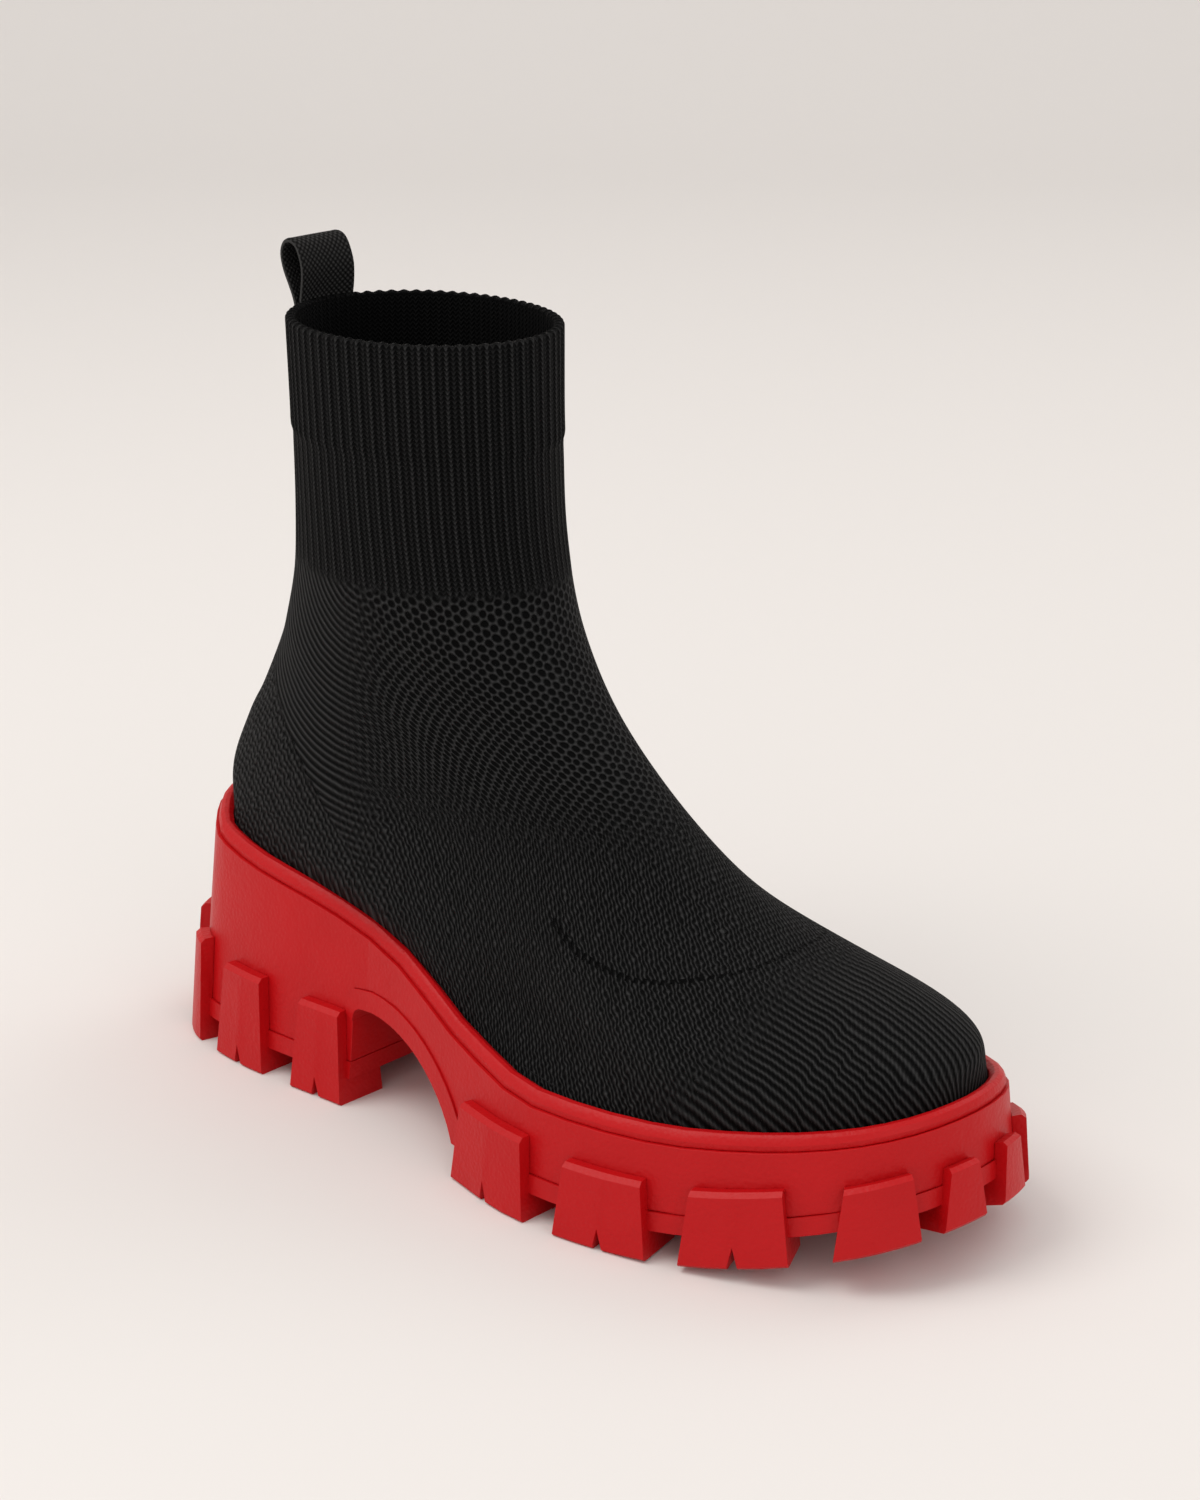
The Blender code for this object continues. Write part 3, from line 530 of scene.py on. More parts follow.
def upper_columns(turns, sides):
    """Control rings of the upper, the shares climbed to each of them, and the whole climb."""
    rings = [base_ring(turns, sides, rise) for rise in (CLEARANCE, BASE_RISE)]
    rings += [foot_ring(ring, turns, sides) for ring in FOOT_RINGS]
    rings += [shaft_ring(ring, turns, sides) for ring in SHAFT_RINGS]
    rings = np.array(rings)
    steps = np.linalg.norm(np.diff(rings, axis=0), axis=2).mean(axis=1)
    total = np.concatenate([[0], np.cumsum(steps)])
    return rings, total / total[-1], total[-1]


def upper_surface(turns, sides, climbs):
    """Grid of points of the upper's outer face, rows by columns."""
    rings, knots, _ = upper_columns(turns, sides)
    steps = np.diff(knots)[:, None, None]
    rates = np.diff(rings, axis=0) / steps
    inner = (rates[:-1] * steps[1:] + rates[1:] * steps[:-1]) / (steps[:-1] + steps[1:])
    slopes = np.concatenate([rates[:1], inner, rates[-1:]])
    return hermite(knots, rings, slopes, climbs)


def grid_normals(grid):
    """Outward normals of a grid of rings, level at the base and at the collar."""
    around = np.roll(grid, -1, axis=1) - np.roll(grid, 1, axis=1)
    up = np.gradient(grid, axis=0)
    normals = np.cross(around, up)
    normals[[0, -1], :, 2] = 0
    return normals / np.linalg.norm(normals, axis=2)[:, :, None]


def even_places(count):
    """Turns and sides of columns spaced evenly along the cuff, from the heel's back."""
    fine = np.linspace(0, 1, 2001)
    ring = shaft_ring(SHAFT_RINGS[-1], fine, np.full_like(fine, OUTER))
    run = run_along(ring)
    half = count // 2
    turns = np.interp(np.linspace(0, run[-1], half + 1), run, fine)
    turns = np.concatenate([turns, turns[-2:0:-1]])
    sides = np.concatenate([np.full(half + 1, float(OUTER)), np.full(half - 1, float(INNER))])
    return turns, sides


def eased(grid):
    """The grid with each column eased between the base and the collar, so that no ring shows."""
    for _ in range(EASING):
        grid = np.concatenate([grid[:1], (grid[:-2] + 2 * grid[1:-1] + grid[2:]) / 4, grid[-1:]])
    return grid


def round_run(grid):
    """Signed distance round each row from the front, and the length of the whole row."""
    steps = np.linalg.norm(np.roll(grid, -1, axis=1) - grid, axis=2)
    run = np.concatenate([np.zeros((len(grid), 1)), np.cumsum(steps, axis=1)], axis=1)
    return run[:, :-1] - run[:, -1:] / 2, run[:, -1:]


def girth_run(grid):
    """Signed distance of each point from the crest of the foot, round its section."""
    x, y, z = grid[:, :, 0], grid[:, :, 1], grid[:, :, 2]
    across = y - centre_line(along_sole(x))
    crest = grid[:, grid.shape[1] // 2]
    order = np.argsort(crest[:, 0])
    crest_z = np.mean([
        np.interp(x + shift, crest[order, 0], np.minimum(crest[order, 2], RIBS_LOW))
        for shift in np.linspace(-CREST_EASE, CREST_EASE, CREST_SAMPLES)
    ], axis=0)
    drop = np.maximum(crest_z - z, 0)
    return across + np.tanh(across / CREST_HALF) * CREST_FALL * drop


def climbed_run(grid):
    """Distance down each column from the collar, as a number that grows upwards."""
    steps = np.linalg.norm(np.diff(grid, axis=0), axis=2)
    down = np.concatenate([np.zeros((1, grid.shape[1])), np.cumsum(steps[::-1], axis=0)])
    return -down[::-1]


def hole_line():
    """Smooth line of the row of holes over the vamp, in places along and across the foot."""
    knots = np.linspace(0, 1, len(HOLES))
    at = np.linspace(0, 1, HOLE_STEPS)
    x = table_curve(knots, [row.x for row in HOLES])(at)
    across = np.interp(at, knots, [row.across for row in HOLES])
    return np.stack([x, across], axis=1)


def hole_run(grid):
    """Distance of each point along the row of holes, and from it."""
    line = hole_line()
    x = grid[:, :, 0]
    across = grid[:, :, 1] - centre_line(along_sole(x))
    near = (np.abs(x - HOLES_X) < HOLES_REACH) & (grid[:, :, 2] > HOLES_LOW)
    run = run_along(line)
    along, away = np.zeros(x.shape), np.full(x.shape, FAR)
    points = np.stack([x[near], across[near]], axis=1)
    starts, steps = line[:-1], np.diff(line, axis=0)
    share = np.einsum("pij,ij->pi", points[:, None] - starts, steps) / (steps ** 2).sum(axis=1)
    share = np.clip(share, 0, 1)
    offset = points[:, None] - starts - share[:, :, None] * steps
    distance = np.linalg.norm(offset, axis=2)
    best = distance.argmin(axis=1)
    rows = np.arange(len(points))
    side = np.sign(np.cross(steps[best], offset[rows, best]))
    along[near] = run[best] + share[rows, best] * np.diff(run)[best]
    away[near] = distance[rows, best] * np.where(side == 0, 1, side)
    return along, away


def with_settings(thing, **settings):
    for key, value in settings.items():
        setattr(thing, key, value)
    return thing


def new_object(name, data):
    body = bpy.data.objects.new(name, data)
    bpy.context.scene.collection.objects.link(body)
    return body


def grid_mesh(name, rings, material):
    """Mesh of quads between closed rings of points."""
    rows, count = rings.shape[:2]
    mesh = bpy.data.meshes.new(name)
    i, j = np.meshgrid(np.arange(rows - 1), np.arange(count), indexing="ij")
    low, right = i * count, (j + 1) % count
    faces = np.stack([low + j, low + right, low + count + right, low + count + j], axis=-1)
    faces = faces.reshape(-1, 4)
    mesh.vertices.add(rows * count)
    mesh.vertices.foreach_set("co", rings.reshape(-1, 3).astype(np.float32).ravel())
    mesh.loops.add(faces.size)
    mesh.loops.foreach_set("vertex_index", faces.ravel().astype(np.int32))
    mesh.polygons.add(len(faces))
    mesh.polygons.foreach_set("loop_start", np.arange(0, faces.size, 4, dtype=np.int32))
    mesh.polygons.foreach_set("loop_total", np.full(len(faces), 4, dtype=np.int32))
    mesh.update(calc_edges=True)
    mesh.polygons.foreach_set("use_smooth", np.ones(len(faces), dtype=bool))
    mesh.materials.append(material)
    return mesh


def write_pairs(mesh, name, first, second, wrap_first=None):
    """Stores two numbers per corner as a UV map. Where a face closes the ring the first wraps."""
    corners = np.empty(len(mesh.loops), np.int32)
    mesh.loops.foreach_get("vertex_index", corners)
    u, v = first.ravel()[corners].copy(), second.ravel()[corners].copy()
    if wrap_first is not None:
        whole = np.broadcast_to(wrap_first, first.shape).ravel()[corners]
        quads = u.reshape(-1, 4)
        high, low = quads.max(axis=1, keepdims=True), quads.min(axis=1, keepdims=True)
        wraps = high - low > whole.reshape(-1, 4)[:, :1] / 2
        u = (quads + np.where(wraps & (quads < (high + low) / 2), whole.reshape(-1, 4), 0)).ravel()
    layer = mesh.uv_layers.new(name=name)
    layer.data.foreach_set("uv", np.stack([u, v], axis=1).astype(np.float32).ravel())


def write_value(mesh, name, values):
    attribute = mesh.attributes.new(name, "FLOAT", "POINT")
    attribute.data.foreach_set("value", np.asarray(values, np.float32).ravel())


class Nodes:
    """Short way to write a material's nodes."""

    def __init__(self, name):
        self.material = bpy.data.materials.new(name)
        self.material.use_nodes = True
        self.tree = self.material.node_tree
        self.shader = self.tree.nodes["Principled BSDF"]

    def put(self, socket, value):
        if isinstance(value, bpy.types.NodeSocket):
            self.tree.links.new(value, socket)
        elif value is not None:
            socket.default_value = value

    def add(self, kind, **settings):
        return with_settings(self.tree.nodes.new(kind), **settings)

    def maths(self, operation, a, b=None, c=None):
        node = self.add("ShaderNodeMath", operation=operation)
        for socket, value in zip(node.inputs, (a, b, c)):
            self.put(socket, value)
        return node.outputs[0]

    def times(self, a, b):
        return self.maths("MULTIPLY", a, b)

    def scaled(self, a, factor, offset):
        return self.maths("MULTIPLY_ADD", a, factor, offset)

    def limit(self, value, low, high):
        return self.maths("MINIMUM", self.maths("MAXIMUM", value, low), high)

    def value(self, name):
        return self.add("ShaderNodeAttribute", attribute_name=name).outputs["Fac"]

    def pair(self, name):
        node = self.add("ShaderNodeUVMap", uv_map=name)
        parts = self.add("ShaderNodeSeparateXYZ")
        self.put(parts.inputs[0], node.outputs[0])
        return parts.outputs[0], parts.outputs[1]

    def vector(self, x, y, z=0.0):
        node = self.add("ShaderNodeCombineXYZ")
        for socket, value in zip(node.inputs, (x, y, z)):
            self.put(socket, value)
        return node.outputs[0]

    def place(self):
        return self.add("ShaderNodeTexCoord").outputs["Object"]

    def feed(self, node, **values):
        for name, value in values.items():
            self.put(node.inputs[name.replace("_", " ")], value)
        return node

    def noise(self, vector, scale, detail, roughness=0.5):
        node = self.add("ShaderNodeTexNoise")
        self.feed(node, Vector=vector, Scale=scale, Detail=detail, Roughness=roughness)
        return node.outputs["Fac"]

    def cells(self, vector, scale, feature):
        node = self.add("ShaderNodeTexVoronoi", feature=feature)
        return self.feed(node, Vector=vector, Scale=scale).outputs["Distance"]

    def wave(self, run, period, phase=0.0):
        """Wave from 0 to 1 along a run, with its crest at each whole period."""
        turn = self.scaled(run, 2 * math.pi / period, phase)
        return self.scaled(self.maths("COSINE", turn), 0.5, 0.5)

    def mixed(self, data_type, kind, a, b, share):
        node = self.add("ShaderNodeMix", data_type=data_type)
        self.put(node.inputs["Factor"], share)
        for name, value in (("A", a), ("B", b)):
            self.put(next(s for s in node.inputs if s.name == name and s.type == kind), value)
        return next(s for s in node.outputs if s.type == kind)

    def blend(self, a, b, share):
        return self.mixed("FLOAT", "VALUE", a, b, share)

    def colours(self, a, b, share):
        return self.mixed("RGBA", "RGBA", a, b, share)

    def bump(self, height, distance, strength, under=None):
        node = self.add("ShaderNodeBump")
        self.feed(node, Height=height, Distance=distance, Strength=strength, Normal=under)
        return node.outputs[0]

    def finish(self, colour, roughness, normal=None, **more):
        self.feed(self.shader, Base_Color=colour, Roughness=roughness, Normal=normal, **more)
        return self.material


def opaque(colour):
    return (*colour, 1.0)


def rubber_material(name, settings):
    """Satin moulded rubber with a fine leather-like grain."""
    nodes = Nodes(name)
    place = nodes.place()
    pebbles = nodes.cells(place, 1 / settings.grain, "SMOOTH_F1")
    fine = nodes.noise(place, *RUBBER_FINE)
    broad = nodes.noise(place, *RUBBER_BROAD)
    normal = nodes.bump(broad, *BROAD_BUMP)
    normal = nodes.bump(nodes.scaled(fine, FINE_GRAIN, pebbles), *GRAIN_BUMP, normal)
    colour = nodes.colours(opaque(settings.shade), opaque(settings.red), broad)
    rough = nodes.scaled(fine, FINE_ROUGH, settings.gloss + ROUGH_BASE)
    return nodes.finish(
        colour, rough, normal, Specular_IOR_Level=0.20, Coat_Weight=0.03, Coat_Roughness=0.35,
    )


def rib_stitches(nodes, course, up):
    """Wales of the ribs: two to a rib, each a column of V-shaped stitches."""
    rib = nodes.pair("ribs")[0]
    lean = nodes.maths("PINGPONG", rib, WALE / 2)
    stitch = nodes.wave(nodes.scaled(lean, STITCH_LEAN * course, up), course)
    wales = nodes.blend(nodes.wave(rib, WALE), stitch, STITCH_SHARE)
    # Painted shade between the ribs: the stitches are lower, and so darker, towards each rib's trough
    crest = nodes.scaled(nodes.wave(rib, 1.0), RIB_SHADE_GAIN, RIB_SHADE_BASE)
    return nodes.times(wales, crest)


def open_mesh(nodes, cell, around, up):
    """Three crossed waves, which leave thin walls of yarn round dark cells."""
    shift = nodes.noise(nodes.vector(around, up), *MESH_NOISE)
    shifted = nodes.scaled(shift, MESH_AROUND, around)
    lifted = nodes.scaled(shift, MESH_UP, up)
    half = nodes.times(shifted, math.pi / cell)
    slope = nodes.times(lifted, math.sqrt(3) * math.pi / cell)
    turns = (
        nodes.times(half, 2.0), nodes.maths("ADD", half, slope), nodes.maths("SUBTRACT", half, slope),
    )
    one, two, three = [nodes.maths("COSINE", turn) for turn in turns]
    waves = nodes.maths("ADD", nodes.maths("ADD", one, two), three)
    return nodes.limit(nodes.scaled(waves, MESH_GAIN, MESH_BASE), 0.0, MESH_TOP)


def vamp_maze(nodes, girth, along):
    """Maze of short slanted ridges that run lengthwise."""
    shake = nodes.noise(nodes.vector(girth, along), *MAZE_NOISE)
    slant = nodes.scaled(along, MAZE_SLANT, girth)
    ridges = nodes.wave(nodes.scaled(shake, MAZE_AROUND, slant), MAZE_RIDGE)
    breaks = nodes.wave(nodes.scaled(shake, MAZE_ALONG, along), MAZE_BREAK)
    return nodes.blend(ridges, breaks, BREAK_SHARE)


def toe_ribs(nodes, spacing, girth, along, drift):
    """Bold ribs that run lengthwise, with slanted stitches on them."""
    bold = nodes.wave(nodes.scaled(drift, TOE_DRIFT, girth), spacing)
    nicks = nodes.wave(nodes.scaled(girth, NICK_SLANT, along), NICK)
    return nodes.blend(bold, nicks, NICK_SHARE)


def dark_marks(nodes, up):
    """Row of small holes over the vamp, and the broken line of the heel's gore."""
    hole_along, hole_away = nodes.pair("hole_row")
    spots = nodes.maths("POWER", nodes.wave(hole_along, HOLE_PITCH), HOLE_POINT)
    holes = nodes.times(spots, nodes.maths("COMPARE", hole_away, 0.0, HOLE_HALF))
    gore = nodes.maths("COMPARE", nodes.value("gore_run"), 0.0, GORE_HALF)
    gore = nodes.times(gore, nodes.wave(up, GORE_PITCH))
    return nodes.maths("MAXIMUM", holes, nodes.times(gore, GORE_DEPTH))


def knit_height(nodes, settings):
    """Height of the stitches. Each zone has its own, told apart by the points' values."""
    around, up = nodes.pair("skin")
    girth, along = nodes.pair("girth")
    drift = nodes.noise(nodes.vector(girth, along), *KNIT_DRIFT)
    arc_run = nodes.scaled(drift, ARC_DRIFT, nodes.value("arc_run"))
    height = vamp_maze(nodes, girth, along)
    for zone, stitches in (
        ("mesh_zone", open_mesh(nodes, settings.cell, around, up)),
        ("arc_zone", nodes.wave(arc_run, ARC_COURSE)),
        ("toe_zone", toe_ribs(nodes, settings.toe_rib, girth, along, drift)),
        ("rib_zone", rib_stitches(nodes, settings.course, up)),
    ):
        height = nodes.blend(height, stitches, nodes.value(zone))
    return nodes.maths("SUBTRACT", height, dark_marks(nodes, up))


def knit_material(settings):
    """Black knit, with a painted highlight on its raised yarn and painted shade between its yarns and on
    the inside.
    """
    nodes = Nodes("knit_yarn")
    height = knit_height(nodes, settings)
    fuzz = nodes.noise(nodes.place(), *KNIT_FUZZ)
    normal = nodes.bump(height, *KNIT_BUMP)
    normal = nodes.bump(fuzz, *FUZZ_BUMP, normal)
    # Share of the painted highlight on the raised yarn from the stitch height and fuzz; the rest is
    # painted shade between the yarns
    highlight_share = nodes.scaled(fuzz, TONE_FUZZ, nodes.scaled(height, TONE_GAIN, TONE_BASE))
    highlight_share = nodes.maths("POWER", nodes.limit(highlight_share, 0.0, 1.0), TONE_POWER)
    # Painted shade on the inside of the boot
    inside_shade = nodes.scaled(nodes.value("inside"), INSIDE_SHADE, 1.0)
    highlight_share = nodes.times(highlight_share, inside_shade)
    colour = nodes.colours(opaque(settings.gap), opaque(settings.yarn), highlight_share)
    return nodes.finish(
        colour, roughness=0.70, normal=normal, Specular_IOR_Level=0.05,
        Sheen_Weight=0.004, Sheen_Roughness=0.45,
    )


def webbing_material(settings):
    """Black basket weave in small even cells, with a painted highlight on the raised cells and painted
    shade between them.
    """
    nodes = Nodes("loop_webbing")
    across, along = nodes.pair("weave")
    u = nodes.maths("DIVIDE", across, settings.pick)
    v = nodes.maths("DIVIDE", along, settings.pick)
    ridges = nodes.times(nodes.wave(u, 2.0), nodes.wave(v, 2.0))
    others = nodes.times(nodes.wave(u, 2.0, math.pi), nodes.wave(v, 2.0, math.pi))
    weave = nodes.maths("MAXIMUM", ridges, others)
    fuzz = nodes.noise(nodes.place(), *KNIT_FUZZ)
    normal = nodes.bump(weave, *WEAVE_BUMP)
    normal = nodes.bump(fuzz, *WEAVE_FUZZ_BUMP, normal)
    # Share of the painted highlight on the raised cells; the rest is painted shade between them
    highlight_share = nodes.maths("POWER", weave, WEAVE_POWER)
    colour = nodes.colours(opaque(WEAVE_GAP_SHADE), opaque(settings.yarn), highlight_share)
    return nodes.finish(
        colour, roughness=0.68, normal=normal, Specular_IOR_Level=0.06, Sheen_Weight=0.006,
    )


def insole_material():
    """Black brushed textile."""
    nodes = Nodes("insole_textile")
    nap = nodes.noise(nodes.place(), *INSOLE_NAP)
    colour = nodes.colours(opaque(NAP_DARK), opaque(NAP_LIGHT), nap)
    normal = nodes.bump(nap, *NAP_BUMP)
    return nodes.finish(colour, roughness=0.92, normal=normal, Specular_IOR_Level=0.2)


def copy_of(node_name, name, material):
    """New object with a node's mesh, welded, and smooth but for its real edges."""
    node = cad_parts[node_name]
    build = bmesh.new()
    build.from_mesh(node.data)
    build.transform(node.matrix_world)
    bmesh.ops.remove_doubles(build, verts=build.verts, dist=WELD)
    bmesh.ops.dissolve_limit(
        build, angle_limit=FLAT_ANGLE, verts=build.verts, edges=build.edges
    )
    mesh = bpy.data.meshes.new(name)
    build.to_mesh(mesh)
    build.free()
    mesh.materials.append(material)
    mesh.shade_smooth()
    mesh.set_sharp_from_angle(angle=EDGE_ANGLE)
    return new_object(name, mesh)


def soften(body, radius):
    """Closes the seams with a slight swell and rounds the moulded edges."""
    with_settings(body.modifiers.new("swell", "DISPLACE"), strength=SWELL, mid_level=0.0)
    with_settings(
        body.modifiers.new("edges", "BEVEL"), width=radius, segments=3,
        limit_method="ANGLE", angle_limit=EDGE_ANGLE, use_clamp_overlap=True,
    )
    weighted = body.modifiers.new("normals", "WEIGHTED_NORMAL")
    with_settings(weighted, keep_sharp=True, weight=80)


def fit(piece, node_name):
    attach(piece, "root")
    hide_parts(node_name)


class BuildSole(bpy.types.Operator):
    """Build the moulded red rubber pieces with softened edges"""

    bl_idname = "sockboot.sole"
    bl_label = "Build sole"

    def execute(self, context):
        settings = context.scene.sock_sole
        for node, slot in (
            ("platform", "platform_rubber"),
            ("tread_forefoot", "tread_rubber"),
            ("tread_heel", "heel_tread_rubber"),
            ("edge_strip", "strip_rubber"),
        ):
            piece = copy_of(node, node + "_look", rubber_material(slot, settings))
            soften(piece, settings.edge)
            fit(piece, node)
        return {"FINISHED"}


class BuildInsole(bpy.types.Operator):
    """Cover the insole with dark brushed textile"""

    bl_idname = "sockboot.insole"
    bl_label = "Build insole"

    def execute(self, context):
        piece = copy_of("insole", "insole_look", insole_material())
        fit(piece, "insole")
        return {"FINISHED"}


def fade_in(values, start, fade):
    """Share that grows from 0 to 1 across the start."""
    return smooth_step((values - start) / fade + 0.5)


def fade_out(values, end, fade):
    """Share that falls from 1 to 0 across the end."""
    return smooth_step((end - values) / fade + 0.5)


def rib_crest(shares):
    """1 on the crest of a rib and 0 between two."""
    return 0.5 + 0.5 * np.cos(2 * np.pi * shares)


def rib_relief(shares, height):
    """Offset of the ribs in depths of a rib, and the cuff's share. The shaft's ribs are finer."""
    cuff_low = COLLAR_HEIGHT - CUFF_DEPTH
    cuff = smooth_step((height - cuff_low + CUFF_FADE / 2) / CUFF_FADE)
    shaft = fade_in(height, RIBS_LOW, SHAFT_FADE) * fade_out(height, cuff_low, SHAFT_FADE)
    crest = rib_crest(shares)
    return cuff * (crest ** RIB_POINT - 0.5) + SHAFT_RIB * shaft * (crest - 0.5), cuff


def knit_zones(grid):
    """Shares at each point of the cuff's ribs, the open mesh, the heel's arcs and the toe's ribs."""
    x, z = grid[:, :, 0], grid[:, :, 2]
    over = z - ledge(x)
    under_ribs = 1 - fade_in(z, RIBS_LOW, RIBS_FADE)
    gore = mix(GORE_BACK[1], GORE_FRONT[1], (x - GORE_BACK[0]) / (GORE_FRONT[0] - GORE_BACK[0]))
    arcs = fade_out(x, ARC_FRONT, ARC_FADE) * fade_in(z, gore, GORE_FADE)
    open_zone = fade_in(z, MESH_LOW, MESH_LOW_FADE) * fade_in(x, MESH_BACK, MESH_BACK_FADE)
    toe_length = mix(TOE_LOW, TOE_HIGH, smooth_step((over - TOE_RISE_FROM) / TOE_RISE_OVER))
    return {
        "rib_zone": 1 - under_ribs,
        "mesh_zone": open_zone * under_ribs,
        "arc_zone": arcs * under_ribs,
        "toe_zone": fade_out(SOLE_LENGTH - x, toe_length, TOE_FADE),
        "arc_run": np.hypot(x - ARC_X, z - ARC_Z),
        "gore_run": np.abs(z - gore) + FAR * fade_in(x, GORE_FRONT[0], GORE_END_FADE),
    }


def crease_relief(grid):
    """Offset of the creases, a trough with a soft ridge to each side."""
    total = np.zeros(grid.shape[:2])
    for crease in CREASES:
        x, z = grid[:, :, 0] - crease.x, grid[:, :, 2] - crease.z
        turn = math.atan(crease.slope)
        along = x * math.cos(turn) + z * math.sin(turn)
        across = (z * math.cos(turn) - x * math.sin(turn)) / crease.wide
        fade = np.exp(-((along / crease.long) ** 2))
        total += crease.depth * fade * (across ** 2 - CREASE_RIDGE) * np.exp(-(across ** 2))
    return total


def rim_rows(top, across, width, crest):
    """Rows of the rolled rim, from the outer face's top row over to the inside."""
    rows = []
    for angle in np.linspace(0, math.pi, RIM_ROWS + 2)[1:-1]:
        row = top - across * (width * (1 - math.cos(angle)) / 2)[:, None]
        row[:, 2] += RIM_RISE * math.sin(angle) ** RIM_POINT * (1 - RIM_CREST + RIM_CREST * crest)
        rows.append(row)
    return rows


def upper_shell(settings):
    """Rows of the outer face, the rolled rim and the inside, and the numbers of their stitches."""
    turns, sides = even_places(settings.ribs * PER_RIB)
    length = upper_columns(turns, sides)[2]
    climbs = np.linspace(0, 1 - RIM_RISE / length, OUTER_ROWS)
    grid = eased(upper_surface(turns, sides, climbs))
    normals = grid_normals(grid)
    rib = np.broadcast_to(np.arange(len(turns)) / PER_RIB, grid.shape[:2])
    relief, cuff = rib_relief(rib, grid[:, :, 2])
    offset = CUFF_STEP * cuff + settings.rib_depth * relief + crease_relief(grid)
    outer = grid + normals * offset[:, :, None]
    wall = mix(KNIT_WALL, CUFF_WALL, cuff) + INSIDE_RIB * settings.rib_depth * relief
    inside_rows = np.linspace(OUTER_ROWS - 1, 0, INNER_ROWS).astype(int)
    inner = (grid + normals * (CUFF_STEP * cuff - wall)[:, :, None])[inside_rows]
    width = (offset - CUFF_STEP * cuff + wall)[-1]
    rim = rim_rows(outer[-1], normals[-1], width, rib_crest(rib[-1]))
    rings = np.concatenate([outer, rim, inner])
    source = np.concatenate([
        np.arange(OUTER_ROWS), np.full(RIM_ROWS, OUTER_ROWS - 1), inside_rows,
    ])
    over_rim, inside = np.zeros(len(source)), np.zeros(len(source))
    over_rim[OUTER_ROWS:OUTER_ROWS + RIM_ROWS] = np.linspace(*RIM_CLIMB, RIM_ROWS)
    inside[OUTER_ROWS + RIM_ROWS // 2:] = 1.0
    return rings, grid, source, rib, over_rim, inside


class BuildUpper(bpy.types.Operator):
    """Build the knitted upper with its ribbed cuff, rolled rim and stitch zones"""

    bl_idname = "sockboot.upper"
    bl_label = "Build upper"

    def execute(self, context):
        settings = context.scene.sock_upper
        rings, grid, source, rib, over_rim, inside = upper_shell(settings)
        mesh = grid_mesh("upper_look", rings - MIDDLE, knit_material(settings))
        count = rings.shape[1]
        climbed = climbed_run(grid)[source] + over_rim[:, None]
        run, whole = round_run(grid)
        along = grid[:, :, 0] - ALONG_FALL * grid[:, :, 2]
        write_pairs(mesh, "ribs", rib[source], climbed, float(settings.ribs))
        write_pairs(mesh, "skin", run[source], climbed, whole[source])
        write_pairs(mesh, "girth", girth_run(grid)[source], along[source])
        hole_along, hole_away = hole_run(grid)
        write_pairs(mesh, "hole_row", hole_along[source], hole_away[source])
        for name, values in knit_zones(grid).items():
            write_value(mesh, name, values[source])
        write_value(mesh, "inside", np.repeat(inside, count))
        fit(new_object("upper_look", mesh), "upper")
        return {"FINISHED"}


def moved_out(points, offset):
    """Moves each point of a curve along its normal."""
    path = np.array(points)
    ahead = np.vstack([path[1:], path[-1:]]) - np.vstack([path[:1], path[:-1]])
    ahead /= np.linalg.norm(ahead, axis=1)[:, None]
    return path + np.stack([-ahead[:, 1], ahead[:, 0]], axis=1) * offset


def strap_line():
    """Middle line of the strap in distances behind the collar and heights over it."""
    apart = (LOOP_THICKNESS + CLEARANCE) / LOOP_BULGE
    end = -LOOP_TAIL / LOOP_HEIGHT
    rows = [LoopPoint(end, 0.0)] + LOOP_LINE
    rows += [LoopPoint(LOOP_JOIN, apart), LoopPoint(end, apart)]
    line = np.array([(-row.back * LOOP_BULGE, row.rise * LOOP_HEIGHT) for row in rows])
    rounded = [line[0], line[1]]
    for i in range(1, len(line) - 2):
        near, far = (line[i + 1] - line[i - 1]) / 2, (line[i + 2] - line[i]) / 2
        if i in (1, len(line) - 3):
            near, far = (line[i + 1] - line[i]), (line[i + 1] - line[i])
        ends, slopes = line[[i, i + 1]], np.array([near, far])
        rounded += [hermite(np.array([0.0, 1.0]), ends, slopes, share) for share in (0.33, 0.67)]
        rounded.append(line[i + 1])
    rounded.append(line[-1])
    return np.array([np.ravel(point) for point in rounded])


def collar_back_x(y, z):
    """Where the cuff's outer face is at a place on the collar's back."""
    lower, ring = SHAFT_RINGS[-2:]
    low_z, _ = ring_height(lower.back_rise, lower.front_rise)
    fall = min(max((COLLAR_HEIGHT - z) / (COLLAR_HEIGHT - low_z), 0.0), 1.0)
    back = mix(ring.back, lower.back, fall) * COLLAR_LENGTH / 2 + CUFF_STEP
    width = mix(ring.width, lower.width, fall) * COLLAR_WIDTH / 2 + CUFF_STEP
    centre = mix(float(ring_centre(ring, 0)), float(ring_centre(lower, 0)), fall)
    return SHAFT_X - back * math.sqrt(1 - ((y - centre) / width) ** 2)


def strap_rings():
    """Closed outlines of the strap at each place across it, and the distance run along it."""
    line = strap_line()
    run = run_along(line)
    seat = CLEARANCE + LOOP_THICKNESS / 2
    rings = []
    for row in STRAP_ACROSS:
        half = row.thick * LOOP_THICKNESS / 2
        y = LOOP_SHIFT + row.across * LOOP_WIDTH
        ring = []
        for back, rise in np.concatenate([moved_out(line, half), moved_out(line, -half)[::-1]]):
            z = COLLAR_HEIGHT + rise
            curl = 1 - LOOP_FLATTENS * float(smooth_step(rise / LOOP_HEIGHT))
            middle_x = collar_back_x(LOOP_SHIFT, z)
            x = middle_x + curl * (collar_back_x(y, z) - middle_x) - seat + back
            ring.append((x, y, z))
        rings.append(ring)
    return np.array(rings), np.concatenate([run, run[::-1]])


